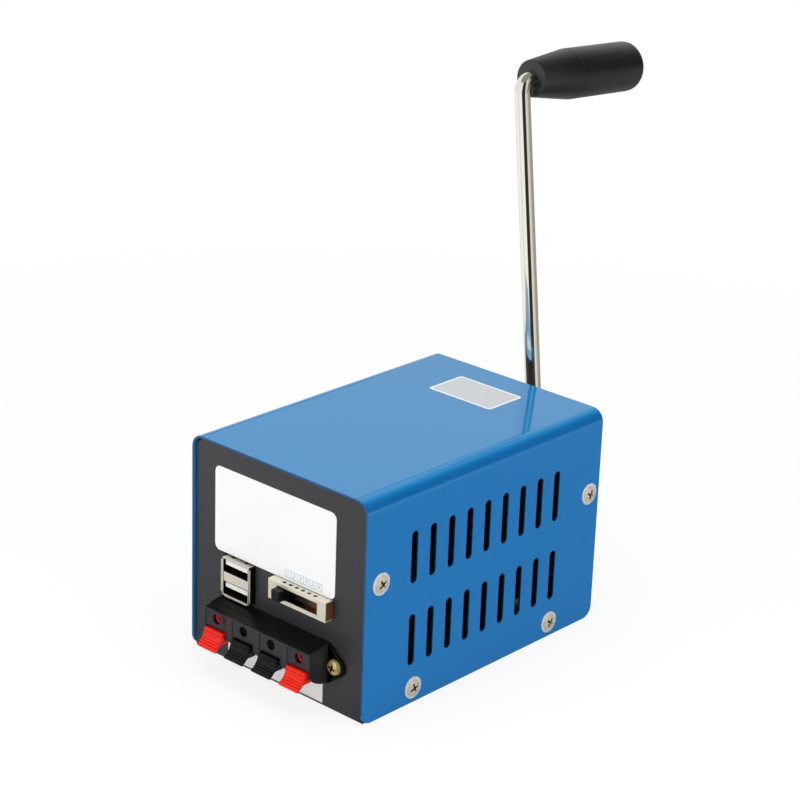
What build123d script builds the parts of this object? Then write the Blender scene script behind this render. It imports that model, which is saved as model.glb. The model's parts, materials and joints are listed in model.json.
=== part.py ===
from build123d import *
from math import acos, atan2, cos, pi, radians, sin, tan
import os

# Hand crank generator, in millimetres. Origin: centre of the base's underside.
# +X is the right side seen from the control panel, +Y runs back to the crank, +Z is up.

# ---- driving dimensions: the sheet-metal box ----
COVER_W, COVER_D, COVER_H = 86.0, 126.0, 84.0     # outer size of the folded cover
SHEET = 1.0                                       # sheet thickness of cover and chassis
COVER_BEND_R = 5.0                                # outer bend radius along the top edges
COVER_CORNER_R = 4.5                              # rounding of the four lower side corners
COVER_LIFT = 0.2                                  # the cover's lower edge clears the ground
FIT_GAP = 0.3                                     # slack between the cover and the chassis
PANEL_RECESS = 1.0                                # both end panels sit inside the cover's rim

# ---- vent slots ----
SLOT_COUNT, SLOT_PITCH = 9, 9.55
SLOT_W, SLOT_H = 3.0, 19.5
SLOT_ROW_PITCH, SLOT_MID_Y, SLOT_MID_Z = 31.65, -0.6, 41.1

# ---- cover screws, M4 pan heads with a washer face: (y, z) on each side ----
SIDE_SCREWS = [(-55.4, 52.2), (57.0, 52.2), (-37.3, 6.2), (37.3, 6.2)]
SCREW_HEAD_R, SCREW_HEAD_T, SCREW_R, SCREW_LEN = 4.2, 2.2, 1.95, 4.4
FLANGE_W, TAB_H = 12.0, 12.0                      # chassis side flanges and base tabs

# ---- crank ----
SHAFT_Z = 42.0                                    # height of the crank shaft
CRANK_TURN = 6.5                                  # degrees the arm leans to -X at rest
ARM_Y, ARM_LEN = 79.0, 153.0                      # plane of the arm, shaft to grip axis
ROD_R, ROD_BEND_LOW, ROD_BEND_TOP = 3.0, 8.0, 5.0
GRIP_DROOP = 3.8                                  # degrees the top bend is opened past square
GRIP_NEAR, GRIP_CREASE, GRIP_FAR = 5.2, 25.6, 63.0  # stations along the grip axis
GRIP_SMALL_R, GRIP_R = 7.1, 9.7
ROD_END = 54.0
POCKET_START, POCKET_R, CAP_START = 50.0, 6.2, 59.2  # hollow in the grip's far end, and its plug
SHAFT_R = 4.0
RUNNING = 0.05                                    # radial running clearance of shafts
BUSH_R, BUSH_FLANGE_R = 6.0, 8.0

# ---- gear train: crank gear 60:12, idler gear 60:12 ----
MODULE_1, MODULE_2 = 0.8, 0.6
WHEEL_TEETH, PINION_TEETH = 60, 12
PRESSURE_ANGLE = radians(20)
ADDENDUM, DEDENDUM, BACKLASH = 0.85, 1.15, 0.12
PLATE_T = 2.5
FRONT_PLATE_Y, REAR_PLATE_Y = 30.0, 58.5          # front faces of the two gearbox plates
IDLER_X, IDLER_SHAFT_R, IDLER_BUSH_R = -21.5, 2.5, 4.5
PILLARS = [(-34.0, 67.0), (34.0, 67.0), (34.0, 12.0), (-34.5, 46.0)]
PILLAR_R = 3.5

# ---- motor ----
CAN_R, CAN_LEN, CAN_WALL = 18.0, 48.0, 1.5
MOTOR_SHAFT_R = 1.6

# ---- control panel pieces ----
USB_X, USB_Z, USB_OUT = -18.9, 34.6, 2.3          # centre, and how far the lips stand out
USB_W, USB_H, USB_DEPTH, USB_WALL = 13.4, 14.6, 14.3, 0.4
USB_PORT_W, USB_PORT_H, TONGUE_W, TONGUE_T = 12.5, 5.1, 11.1, 1.84
SWITCH_X, SWITCH_Z, SWITCH_OUT = 12.8, 38.7, 3.4
SWITCH_W, SWITCH_H, SWITCH_SHEET = 28.0, 7.6, 0.4
SWITCH_SLOT_W, SWITCH_SLOT_H = 19.8, 4.6
SWITCH_POSITIONS, SWITCH_STEP = 6, 3.0
KNOB_W, KNOB_H, KNOB_OUT = 4.0, 3.9, 3.1

# ---- spring-clip terminal ----
TERM_HALF_W, TERM_OUT = 26.4, 10.2
TERM_TOP_FRONT, TERM_TOP_REAR, TERM_FRONT_LOW, TERM_REAR_LOW = 24.8, 26.2, 15.6, 10.8
WIRE_PITCH, WIRE_Z, WIRE_R = 13.75, 21.5, 1.9
TERM_SCREW_X, TERM_SCREW_Z, EAR_R, FLANGE_T = 29.9, 18.5, 4.0, 1.2
POCKET_W, LEVER_W, LEVER_TOP = 9.8, 9.2, 17.6
PIVOT_REACH = 0.5                                 # each pivot pin enters the pocket's side wall
PIVOT_Y, PIVOT_Z, PIVOT_R = -70.6, 14.9, 0.8
ARM_TIP_Z, RIDGES, RIDGE_R = 21.6, 6, 0.35
TERMINALS = (1, 2, 3, 4)

# ---- circuit board ----
BOARD_Y, BOARD_T = -50.0, 1.6                     # front face and thickness
BOARD_X0, BOARD_X1, BOARD_Z0, BOARD_Z1 = -35.0, 33.0, 28.0, 76.0
BOARD_SPACERS = [(-27.0, 49.0), (23.0, 49.0), (-27.0, 70.0), (23.0, 70.0)]
LEAD_R = 0.8                                      # motor leads
STRAP_W, STRAP_T = 1.6, 0.5                       # bent straps from the contacts to the board

# ---- sides of the prisms that small repeated and sealed-in round pieces are drawn with ----
SHANK_SIDES, HEAD_SIDES, BORE_SIDES, BUSH_SIDES, CAN_SIDES = 6, 8, 12, 12, 24

# ---- labels ----
LABEL_T = 0.15

PANEL_Y = -COVER_D / 2 + PANEL_RECESS             # outer face of the control panel
REAR_Y = COVER_D / 2 - PANEL_RECESS               # outer face of the rear panel
CHASSIS_HALF_W = COVER_W / 2 - SHEET - FIT_GAP
CHASSIS_H = COVER_H - SHEET - 0.4


def facing_front(y):
    """Sketch plane at depth y: local x is +X, local y is +Z, extrusions run towards -Y."""
    return Plane.XZ.offset(-y)


def facing_side(x):
    """Sketch plane at x: local x is +Y, local y is +Z, extrusions run towards +X."""
    return Plane.YZ.offset(x)


def save(part, label):
    part.label = label
    export_step(part, f"parts/{label}.step")


def terminal_x(number):
    return (number - 2.5) * WIRE_PITCH


def round_bar(y0, y1, radius, x, z):
    """Round bar along +Y from y0 to y1 inside the current part."""
    with Locations((x, (y0 + y1) / 2, z)):
        Cylinder(radius, y1 - y0, rotation=(90, 0, 0))


def prism(y0, y1, radius, x, z, sides, mode=Mode.ADD):
    """Regular prism along +Y inside the current part, its corners on the radius."""
    with BuildSketch(facing_front(y0)) as section:
        with Locations((x, z)):
            RegularPolygon(radius, sides)
    extrude(section.sketch, amount=-(y1 - y0), mode=mode)


def bore(y0, y1, radius, x, z, sides=BORE_SIDES):
    """Many-sided hole along +Y whose flats stand at the radius."""
    prism(y0, y1, radius / cos(pi / sides), x, z, sides, mode=Mode.SUBTRACT)


# ================= box =================

def make_cover():
    with BuildPart() as cover:
        with Locations((0, 0, COVER_LIFT)):
            Box(COVER_W, COVER_D, COVER_H - COVER_LIFT, align=(Align.CENTER, Align.CENTER, Align.MIN))
        top_edges = cover.edges().filter_by(Axis.Y).group_by(Axis.Z)[-1]
        fillet(top_edges, COVER_BEND_R)
        open_ends = cover.faces().filter_by(Axis.Y) + cover.faces().sort_by(Axis.Z)[:1]
        offset(amount=-SHEET, openings=open_ends)
        corners = cover.edges().filter_by(Axis.X).group_by(Axis.Z)[0]
        fillet(corners, COVER_CORNER_R)
        with BuildSketch(Plane.YZ):
            with Locations((SLOT_MID_Y, SLOT_MID_Z)):
                with GridLocations(SLOT_PITCH, SLOT_ROW_PITCH, SLOT_COUNT, 2):
                    Rectangle(SLOT_W, SLOT_H - SLOT_W)
                    with Locations((0, SLOT_H / 2 - SLOT_W / 2), (0, SLOT_W / 2 - SLOT_H / 2)):
                        RegularPolygon(SLOT_W / 2, 8)
            with Locations(*SIDE_SCREWS):
                RegularPolygon(SCREW_R + 0.25, SHANK_SIDES)
        extrude(amount=COVER_W, both=True, mode=Mode.SUBTRACT)
    save(cover.part, "cover")


def make_chassis():
    """Base, control panel and rear panel folded from one sheet, with side flanges and tabs."""
    inner_y = REAR_Y - SHEET
    with BuildPart() as chassis:
        with Locations((0, 0, 0)):
            Box(2 * CHASSIS_HALF_W, 2 * REAR_Y, CHASSIS_H, align=(Align.CENTER, Align.CENTER, Align.MIN))
        fillet(chassis.edges().filter_by(Axis.X).group_by(Axis.Z)[0], 1.5)
        open_faces = chassis.faces().filter_by(Axis.X) + chassis.faces().sort_by(Axis.Z)[-1:]
        offset(amount=-SHEET, openings=open_faces)
        fillet(chassis.edges().filter_by(Axis.Y).group_by(Axis.Z)[-1], COVER_BEND_R - SHEET)
        for side in (-1, 1):
            x_mid = side * (CHASSIS_HALF_W - SHEET / 2)
            for end in (-1, 1):
                with Locations((x_mid, end * (inner_y - FLANGE_W / 2), CHASSIS_H / 2 - 3)):
                    Box(SHEET, FLANGE_W, CHASSIS_H - 26)
            with Locations((x_mid, 0, TAB_H / 2)):
                Box(SHEET, 92, TAB_H)
        with BuildSketch(Plane.YZ):
            with Locations(*SIDE_SCREWS):
                RegularPolygon(SCREW_R, SHANK_SIDES)
        extrude(amount=COVER_W, both=True, mode=Mode.SUBTRACT)
        with BuildSketch(facing_front(PANEL_Y - 1)):
            with Locations((USB_X, USB_Z)):
                Rectangle(USB_W + 2.2, USB_H + 1.2)
            with Locations((SWITCH_X, SWITCH_Z)):
                Rectangle(SWITCH_W + 0.8, SWITCH_H + 0.3)
            with Locations((0, TERM_SCREW_Z)):
                Rectangle(50.4, 12.8)
            with Locations((-TERM_SCREW_X, TERM_SCREW_Z), (TERM_SCREW_X, TERM_SCREW_Z)):
                RegularPolygon(1.6, SHANK_SIDES)
            with Locations(*BOARD_SPACERS):
                RegularPolygon(1.5, SHANK_SIDES)
        extrude(amount=-3, mode=Mode.SUBTRACT)
        with BuildSketch(facing_front(REAR_Y + 1)):
            with Locations((0, SHAFT_Z)):
                RegularPolygon(BUSH_R, BUSH_SIDES)
            with Locations(*PILLARS):
                RegularPolygon(1.7, SHANK_SIDES)
        extrude(amount=3, mode=Mode.SUBTRACT)
    save(chassis.part, "chassis")


def make_cover_screws():
    """Eight pan heads with a washer face, four in each side."""
    with BuildPart() as cover_screws:
        for side in (-1, 1):
            skin = Plane(origin=(side * COVER_W / 2, 0, 0), x_dir=(0, 1, 0), z_dir=(side, 0, 0))
            spots = [(y, side * z) for y, z in SIDE_SCREWS]
            with BuildSketch(skin):
                with Locations(*spots):
                    RegularPolygon(SCREW_HEAD_R, BUSH_SIDES)
            extrude(amount=0.6)
            with BuildSketch(skin.offset(0.6)):
                with Locations(*spots):
                    RegularPolygon(SCREW_HEAD_R - 0.7, HEAD_SIDES)
            extrude(amount=SCREW_HEAD_T - 0.6, taper=24)
            with BuildSketch(skin):
                with Locations(*spots):
                    RegularPolygon(SCREW_R, SHANK_SIDES)
            extrude(amount=-SCREW_LEN)
    save(cover_screws.part, "cover_screws")


def make_label(label, plane, centre, width, height, corner=0.0):
    with BuildPart() as sheet_label:
        with BuildSketch(plane):
            with Locations(centre):
                if corner:
                    RectangleRounded(width, height, corner)
                else:
                    Rectangle(width, height)
        extrude(amount=LABEL_T)
    save(sheet_label.part, label)


def make_labels():
    panel = facing_front(PANEL_Y)
    make_label("panel_label", panel, (-1.9, 58.9), 59.6, 32.4, 2.5)
    make_label("terminal_label", panel, (-0.7, 6.1), 47.6, 9.0)
    make_label("top_label", Plane.XY.offset(COVER_H), (-0.7, 40.9), 30.6, 18.9, 1.5)


# ================= crank =================

TURN = radians(CRANK_TURN)
ARM_DIR = Vector(-sin(TURN), 0, cos(TURN))
SHAFT_AXIS = Vector(0, 1, 0)
DROOP = radians(GRIP_DROOP)
GRIP_DIR = SHAFT_AXIS * cos(DROOP) - ARM_DIR * sin(DROOP)
ARM_FOOT = Vector(0, ARM_Y, SHAFT_Z)
ARM_TOP = ARM_FOOT + ARM_DIR * ARM_LEN
HUB_Y0, HUB_Y1 = 63.6, 71.0
SHAFT_END_Y, SHAFT_START_Y = 66.4, 30.5


def grip_plane():
    """Plane through the grip axis: local x runs along the grip, local y is a radius."""
    return Plane(origin=ARM_TOP, x_dir=GRIP_DIR, z_dir=GRIP_DIR.cross(ARM_DIR))


def turned(profile):
    """Points (station, radius) closed down to the grip axis."""
    return [(profile[0][0], 0), *profile, (profile[-1][0], 0), (profile[0][0], 0)]


def make_crank_rod():
    """One rod bent twice: shaft stub, arm and the spindle that the grip turns on."""
    start = Vector(0, SHAFT_END_Y + 0.2, SHAFT_Z)
    finish = ARM_TOP + GRIP_DIR * ROD_END
    with BuildPart() as crank_rod:
        with BuildLine() as route:
            FilletPolyline(start, ARM_FOOT, ARM_TOP, finish, radius=[ROD_BEND_LOW, ROD_BEND_TOP])
        with BuildSketch(Plane(origin=start, z_dir=SHAFT_AXIS)):
            Circle(ROD_R)
        sweep(path=route.line)
    save(crank_rod.part, "crank_rod")


def make_crank_hub():
    """Collar that clamps the rod to the gearbox shaft with two grub screws."""
    with BuildPart() as crank_hub:
        with BuildSketch(facing_front(HUB_Y0)):
            with Locations((0, SHAFT_Z)):
                Circle(7.0)
        extrude(amount=-(HUB_Y1 - HUB_Y0))
        bore(HUB_Y0, SHAFT_END_Y, SHAFT_R, 0, SHAFT_Z)
        bore(HUB_Y0, HUB_Y1, ROD_R, 0, SHAFT_Z)
        with BuildSketch(Plane.YZ):
            with Locations((65.2, SHAFT_Z), (68.8, SHAFT_Z)):
                RegularPolygon(1.2, SHANK_SIDES)
        extrude(amount=8, mode=Mode.SUBTRACT)
    save(crank_hub.part, "crank_hub")

    with BuildPart() as hub_grub_screws:
        with BuildSketch(facing_side(6.8)):
            with Locations((65.2, SHAFT_Z), (68.8, SHAFT_Z)):
                RegularPolygon(1.2, SHANK_SIDES)
                RegularPolygon(0.65, 6, mode=Mode.SUBTRACT)
        extrude(amount=-2.4)
    save(hub_grub_screws.part, "hub_grub_screws")


def make_grip():
    """Tapered hand grip: a loose sleeve on the rod, with a pocket for its retaining ring."""
    bore_r = ROD_R + 0.08
    with BuildPart() as crank_grip:
        with BuildSketch(grip_plane()):
            with BuildLine():
                Polyline(turned([(GRIP_NEAR, GRIP_SMALL_R), (GRIP_CREASE, GRIP_R), (GRIP_FAR - 2.0, GRIP_R),
                                 (GRIP_FAR, GRIP_R - 1.8)]))
            make_face()
            with BuildLine():
                Polyline(turned([(GRIP_NEAR - 1, bore_r), (POCKET_START, bore_r)]))
            make_face(mode=Mode.SUBTRACT)
        revolve(axis=Axis(ARM_TOP, GRIP_DIR))
        with BuildSketch(Plane(origin=ARM_TOP + GRIP_DIR * POCKET_START, z_dir=GRIP_DIR)):
            RegularPolygon(POCKET_R, CAN_SIDES)
        extrude(amount=GRIP_FAR - POCKET_START, mode=Mode.SUBTRACT)
    save(crank_grip.part, "crank_grip")

    with BuildPart() as grip_cap:
        with BuildSketch(Plane(origin=ARM_TOP + GRIP_DIR * CAP_START, z_dir=GRIP_DIR)):
            RegularPolygon(POCKET_R, CAN_SIDES)
        extrude(amount=GRIP_FAR - 0.2 - CAP_START)
    save(grip_cap.part, "grip_cap")

    with BuildPart() as grip_retainer:
        with BuildSketch(Plane(origin=ARM_TOP + GRIP_DIR * (POCKET_START + 0.8), z_dir=GRIP_DIR)):
            RegularPolygon(5.4, BUSH_SIDES)
            RegularPolygon(ROD_R, BORE_SIDES, major_radius=False, mode=Mode.SUBTRACT)
        extrude(amount=1.6)
    save(grip_retainer.part, "grip_retainer")


def make_crank_shaft():
    with BuildPart() as crank_shaft:
        round_bar(SHAFT_START_Y, SHAFT_END_Y, SHAFT_R, 0, SHAFT_Z)
    save(crank_shaft.part, "crank_shaft")


# ================= gearbox =================

MESH_1 = MODULE_1 * (WHEEL_TEETH + PINION_TEETH) / 2      # centre distances
MESH_2 = MODULE_2 * (WHEEL_TEETH + PINION_TEETH) / 2
IDLER_Z = SHAFT_Z - (MESH_1 ** 2 - IDLER_X ** 2) ** 0.5
MOTOR_X = 0.0
MOTOR_Z = IDLER_Z + (MESH_2 ** 2 - (MOTOR_X - IDLER_X) ** 2) ** 0.5
CRANK_TO_IDLER = atan2(IDLER_Z - SHAFT_Z, IDLER_X)
IDLER_TO_MOTOR = atan2(MOTOR_Z - IDLER_Z, MOTOR_X - IDLER_X)
HALF_PITCH = pi / PINION_TEETH


def tooth_points(teeth, module, phase, flank_steps):
    """Outline of an involute gear, one tooth centred on the angle phase."""
    pitch_r = teeth * module / 2
    base_r = pitch_r * cos(PRESSURE_ANGLE)
    root_r = pitch_r - DEDENDUM * module
    tip_r = pitch_r + ADDENDUM * module
    half_tooth = pi / (2 * teeth) - BACKLASH / (2 * pitch_r)

    def involute(radius):
        roll = acos(min(1.0, base_r / radius))
        return tan(roll) - roll

    low = max(root_r, base_r)
    levels = [low + (tip_r - low) * k / flank_steps for k in range(flank_steps + 1)]
    if root_r < base_r:
        levels = [root_r] + levels
    outline = []
    for tooth in range(teeth):
        middle = phase + 2 * pi * tooth / teeth
        flank = [(r, half_tooth + involute(pitch_r) - involute(r)) for r in levels]
        for r, half in flank:
            outline.append((r * cos(middle - half), r * sin(middle - half)))
        for r, half in reversed(flank):
            outline.append((r * cos(middle + half), r * sin(middle + half)))
    return outline


def toothed_disc(y0, y1, x, z, outline):
    with BuildSketch(facing_front(y0)) as profile:
        with Locations((x, z)):
            Polygon(*outline, align=None)
    extrude(profile.sketch, amount=-(y1 - y0))


def make_crank_gear():
    outline = tooth_points(WHEEL_TEETH, MODULE_1, CRANK_TO_IDLER, 1)
    with BuildPart() as crank_gear:
        toothed_disc(46, 53, 0, SHAFT_Z, outline)
        prism(53, 56, 8, 0, SHAFT_Z, BUSH_SIDES)
        with BuildSketch(facing_front(46)):
            with Locations((0, SHAFT_Z)):
                with PolarLocations(15, 5):
                    RegularPolygon(4.5, SHANK_SIDES)
        extrude(amount=-7, mode=Mode.SUBTRACT)
        bore(46, 56, SHAFT_R, 0, SHAFT_Z)
    save(crank_gear.part, "crank_gear")


def make_idler():
    wheel = tooth_points(WHEEL_TEETH, MODULE_2, IDLER_TO_MOTOR, 1)
    pinion = tooth_points(PINION_TEETH, MODULE_1, CRANK_TO_IDLER + pi + HALF_PITCH, 2)
    with BuildPart() as idler_gear:
        toothed_disc(36, 41, IDLER_X, IDLER_Z, wheel)
        bore(36, 41, IDLER_SHAFT_R, IDLER_X, IDLER_Z)
    save(idler_gear.part, "idler_gear")

    with BuildPart() as idler_pinion:
        toothed_disc(45, 54, IDLER_X, IDLER_Z, pinion)
        prism(41, 45, 5.2, IDLER_X, IDLER_Z, HEAD_SIDES)
        bore(41, 54, IDLER_SHAFT_R, IDLER_X, IDLER_Z)
    save(idler_pinion.part, "idler_pinion")

    with BuildPart() as idler_shaft:
        round_bar(FRONT_PLATE_Y + 0.5, REAR_PLATE_Y + 2.0, IDLER_SHAFT_R, IDLER_X, IDLER_Z)
    save(idler_shaft.part, "idler_shaft")


def make_gearbox_plates():
    with BuildPart() as gearbox_front_plate:
        with BuildSketch(facing_front(FRONT_PLATE_Y)):
            with Locations((0, 39)):
                Rectangle(77, 70)
            with Locations((0, SHAFT_Z)):
                RegularPolygon(BUSH_R, BUSH_SIDES, mode=Mode.SUBTRACT)
            with Locations((IDLER_X, IDLER_Z)):
                RegularPolygon(IDLER_BUSH_R, BUSH_SIDES, mode=Mode.SUBTRACT)
            with Locations((MOTOR_X, MOTOR_Z)):
                RegularPolygon(5.0, BUSH_SIDES, mode=Mode.SUBTRACT)
            with Locations((MOTOR_X - 9, MOTOR_Z), (MOTOR_X + 9, MOTOR_Z), *PILLARS):
                RegularPolygon(1.7, SHANK_SIDES, mode=Mode.SUBTRACT)
        extrude(amount=-PLATE_T)
        chamfer(gearbox_front_plate.edges().filter_by(Axis.Y).group_by(SortBy.DISTANCE)[-1], 4.0)
    save(gearbox_front_plate.part, "gearbox_front_plate")

    with BuildPart() as gearbox_rear_plate:
        with BuildSketch(facing_front(REAR_PLATE_Y)):
            with Locations((0, 39)):
                Rectangle(77, 70)
            with Locations((0, SHAFT_Z)):
                RegularPolygon(BUSH_R, BUSH_SIDES, mode=Mode.SUBTRACT)
            with Locations((IDLER_X, IDLER_Z)):
                RegularPolygon(IDLER_BUSH_R, BUSH_SIDES, mode=Mode.SUBTRACT)
            with Locations(*PILLARS):
                RegularPolygon(1.7, SHANK_SIDES, mode=Mode.SUBTRACT)
        extrude(amount=-PLATE_T)
        chamfer(gearbox_rear_plate.edges().filter_by(Axis.Y).group_by(SortBy.DISTANCE)[-1], 4.0)
    save(gearbox_rear_plate.part, "gearbox_rear_plate")

    with BuildPart() as gearbox_pillars:
        with BuildSketch(facing_front(FRONT_PLATE_Y + PLATE_T)):
            with Locations(*PILLARS):
                RegularPolygon(PILLAR_R, 6)
                RegularPolygon(1.5, SHANK_SIDES, mode=Mode.SUBTRACT)
        extrude(amount=-(REAR_PLATE_Y - FRONT_PLATE_Y - PLATE_T))
    save(gearbox_pillars.part, "gearbox_pillars")


def make_bushings():
    """Flanged bronze bushes: two carry the crank shaft, two the idler shaft."""
    with BuildPart() as crank_bushings:
        prism(REAR_PLATE_Y, REAR_Y, BUSH_R, 0, SHAFT_Z, BUSH_SIDES)
        prism(REAR_Y, REAR_Y + 1.2, BUSH_FLANGE_R, 0, SHAFT_Z, CAN_SIDES)
        prism(FRONT_PLATE_Y, FRONT_PLATE_Y + PLATE_T, BUSH_R, 0, SHAFT_Z, BUSH_SIDES)
        prism(FRONT_PLATE_Y + PLATE_T, FRONT_PLATE_Y + PLATE_T + 1.0, BUSH_FLANGE_R, 0, SHAFT_Z, BUSH_SIDES)
        bore(FRONT_PLATE_Y - 1, REAR_Y + 2, SHAFT_R + RUNNING, 0, SHAFT_Z, BUSH_SIDES)
    save(crank_bushings.part, "crank_bushings")

    with BuildPart() as idler_bushings:
        prism(FRONT_PLATE_Y, FRONT_PLATE_Y + PLATE_T + 1.0, IDLER_BUSH_R, IDLER_X, IDLER_Z, BUSH_SIDES)
        prism(REAR_PLATE_Y - 1.0, REAR_PLATE_Y + PLATE_T, IDLER_BUSH_R, IDLER_X, IDLER_Z, BUSH_SIDES)
        bore(FRONT_PLATE_Y - 1, REAR_Y, IDLER_SHAFT_R + RUNNING, IDLER_X, IDLER_Z)
    save(idler_bushings.part, "idler_bushings")


def make_gearbox_screws():
    """M3 screws into both ends of the pillars; the rear heads sit on the rear panel."""
    with BuildPart() as gearbox_screws:
        with BuildSketch(facing_front(REAR_Y)):
            with Locations(*PILLARS):
                RegularPolygon(2.9, HEAD_SIDES)
        extrude(amount=-1.9, taper=14)
        with BuildSketch(facing_front(FRONT_PLATE_Y)):
            with Locations(*PILLARS):
                RegularPolygon(2.9, HEAD_SIDES)
        extrude(amount=1.9, taper=14)
        with BuildSketch(facing_front(REAR_Y - 9)):
            with Locations(*PILLARS):
                RegularPolygon(1.5, SHANK_SIDES)
        extrude(amount=-9)
        with BuildSketch(facing_front(FRONT_PLATE_Y)):
            with Locations(*PILLARS):
                RegularPolygon(1.5, SHANK_SIDES)
        extrude(amount=-8)
    save(gearbox_screws.part, "gearbox_screws")


# ================= motor used as the generator =================

def make_motor():
    can_front = FRONT_PLATE_Y - CAN_LEN
    with BuildPart() as motor_can:
        prism(can_front, FRONT_PLATE_Y, CAN_R, MOTOR_X, MOTOR_Z, CAN_SIDES)
        prism(FRONT_PLATE_Y, FRONT_PLATE_Y + 2.4, 4.9, MOTOR_X, MOTOR_Z, BUSH_SIDES)
        prism(can_front, FRONT_PLATE_Y - CAN_WALL, CAN_R - CAN_WALL, MOTOR_X, MOTOR_Z, CAN_SIDES,
              mode=Mode.SUBTRACT)
        bore(FRONT_PLATE_Y - 3, FRONT_PLATE_Y + 5, MOTOR_SHAFT_R + RUNNING, MOTOR_X, MOTOR_Z)
        with BuildSketch(facing_front(FRONT_PLATE_Y - 3)):
            with Locations((MOTOR_X - 9, MOTOR_Z), (MOTOR_X + 9, MOTOR_Z)):
                RegularPolygon(1.4, SHANK_SIDES)
        extrude(amount=-8, mode=Mode.SUBTRACT)
    save(motor_can.part, "motor_can")

    with BuildPart() as motor_magnets:
        with BuildSketch(facing_front(can_front + 6)):
            with Locations((MOTOR_X, MOTOR_Z)):
                RegularPolygon(CAN_R - CAN_WALL, CAN_SIDES)
                RegularPolygon(13.0, CAN_SIDES, mode=Mode.SUBTRACT)
                Rectangle(60, 9, mode=Mode.SUBTRACT)
        extrude(amount=-34)
    save(motor_magnets.part, "motor_magnets")

    with BuildPart() as motor_end_cap:
        prism(can_front - 2.5, can_front, CAN_R, MOTOR_X, MOTOR_Z, CAN_SIDES)
        prism(can_front, can_front + 2, CAN_R - CAN_WALL - 0.02, MOTOR_X, MOTOR_Z, CAN_SIDES)
        prism(can_front - 5, can_front - 2.5, 5.5, MOTOR_X, MOTOR_Z, BUSH_SIDES)
        bore(can_front - 4, can_front + 3, MOTOR_SHAFT_R + RUNNING, MOTOR_X, MOTOR_Z)
    save(motor_end_cap.part, "motor_end_cap")

    with BuildPart() as motor_tabs:
        for side in (-1, 1):
            with Locations((MOTOR_X + side * 11, can_front - 5.5, MOTOR_Z)):
                Box(2.8, 6.0, 0.5)
    save(motor_tabs.part, "motor_tabs")

    with BuildPart() as motor_screws:
        with BuildSketch(facing_front(FRONT_PLATE_Y + PLATE_T)):
            with Locations((MOTOR_X - 9, MOTOR_Z), (MOTOR_X + 9, MOTOR_Z)):
                RegularPolygon(2.6, HEAD_SIDES)
        extrude(amount=-1.7)
        with BuildSketch(facing_front(FRONT_PLATE_Y + PLATE_T)):
            with Locations((MOTOR_X - 9, MOTOR_Z), (MOTOR_X + 9, MOTOR_Z)):
                RegularPolygon(1.4, SHANK_SIDES)
        extrude(amount=5)
    save(motor_screws.part, "motor_screws")


def make_rotor():
    can_front = FRONT_PLATE_Y - CAN_LEN
    with BuildPart() as rotor_shaft:
        round_bar(can_front - 3.5, 42.5, MOTOR_SHAFT_R, MOTOR_X, MOTOR_Z)
    save(rotor_shaft.part, "rotor_shaft")

    pinion = tooth_points(PINION_TEETH, MODULE_2, IDLER_TO_MOTOR + pi + HALF_PITCH, 2)
    with BuildPart() as motor_pinion:
        toothed_disc(34.5, 42, MOTOR_X, MOTOR_Z, pinion)
        bore(34.5, 42, MOTOR_SHAFT_R, MOTOR_X, MOTOR_Z)
    save(motor_pinion.part, "motor_pinion")

    with BuildPart() as rotor_core:
        with BuildSketch(facing_front(can_front + 9)):
            with Locations((MOTOR_X, MOTOR_Z)):
                RegularPolygon(12.5, CAN_SIDES)
                with PolarLocations(9.5, 5):
                    Rectangle(7.0, 4.0, mode=Mode.SUBTRACT)
        extrude(amount=-26)
        bore(can_front + 9, can_front + 35, MOTOR_SHAFT_R, MOTOR_X, MOTOR_Z)
    save(rotor_core.part, "rotor_core")

    with BuildPart() as commutator:
        prism(can_front + 3, can_front + 8.5, 4.0, MOTOR_X, MOTOR_Z, BUSH_SIDES)
        bore(can_front + 3, can_front + 8.5, MOTOR_SHAFT_R, MOTOR_X, MOTOR_Z)
    save(commutator.part, "commutator")


# ================= control panel: sockets and switch =================

def port_centres():
    rise = (USB_H - 2 * USB_WALL - USB_PORT_H) / 2
    return [(USB_X, USB_Z + rise), (USB_X, USB_Z - rise)]


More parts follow.
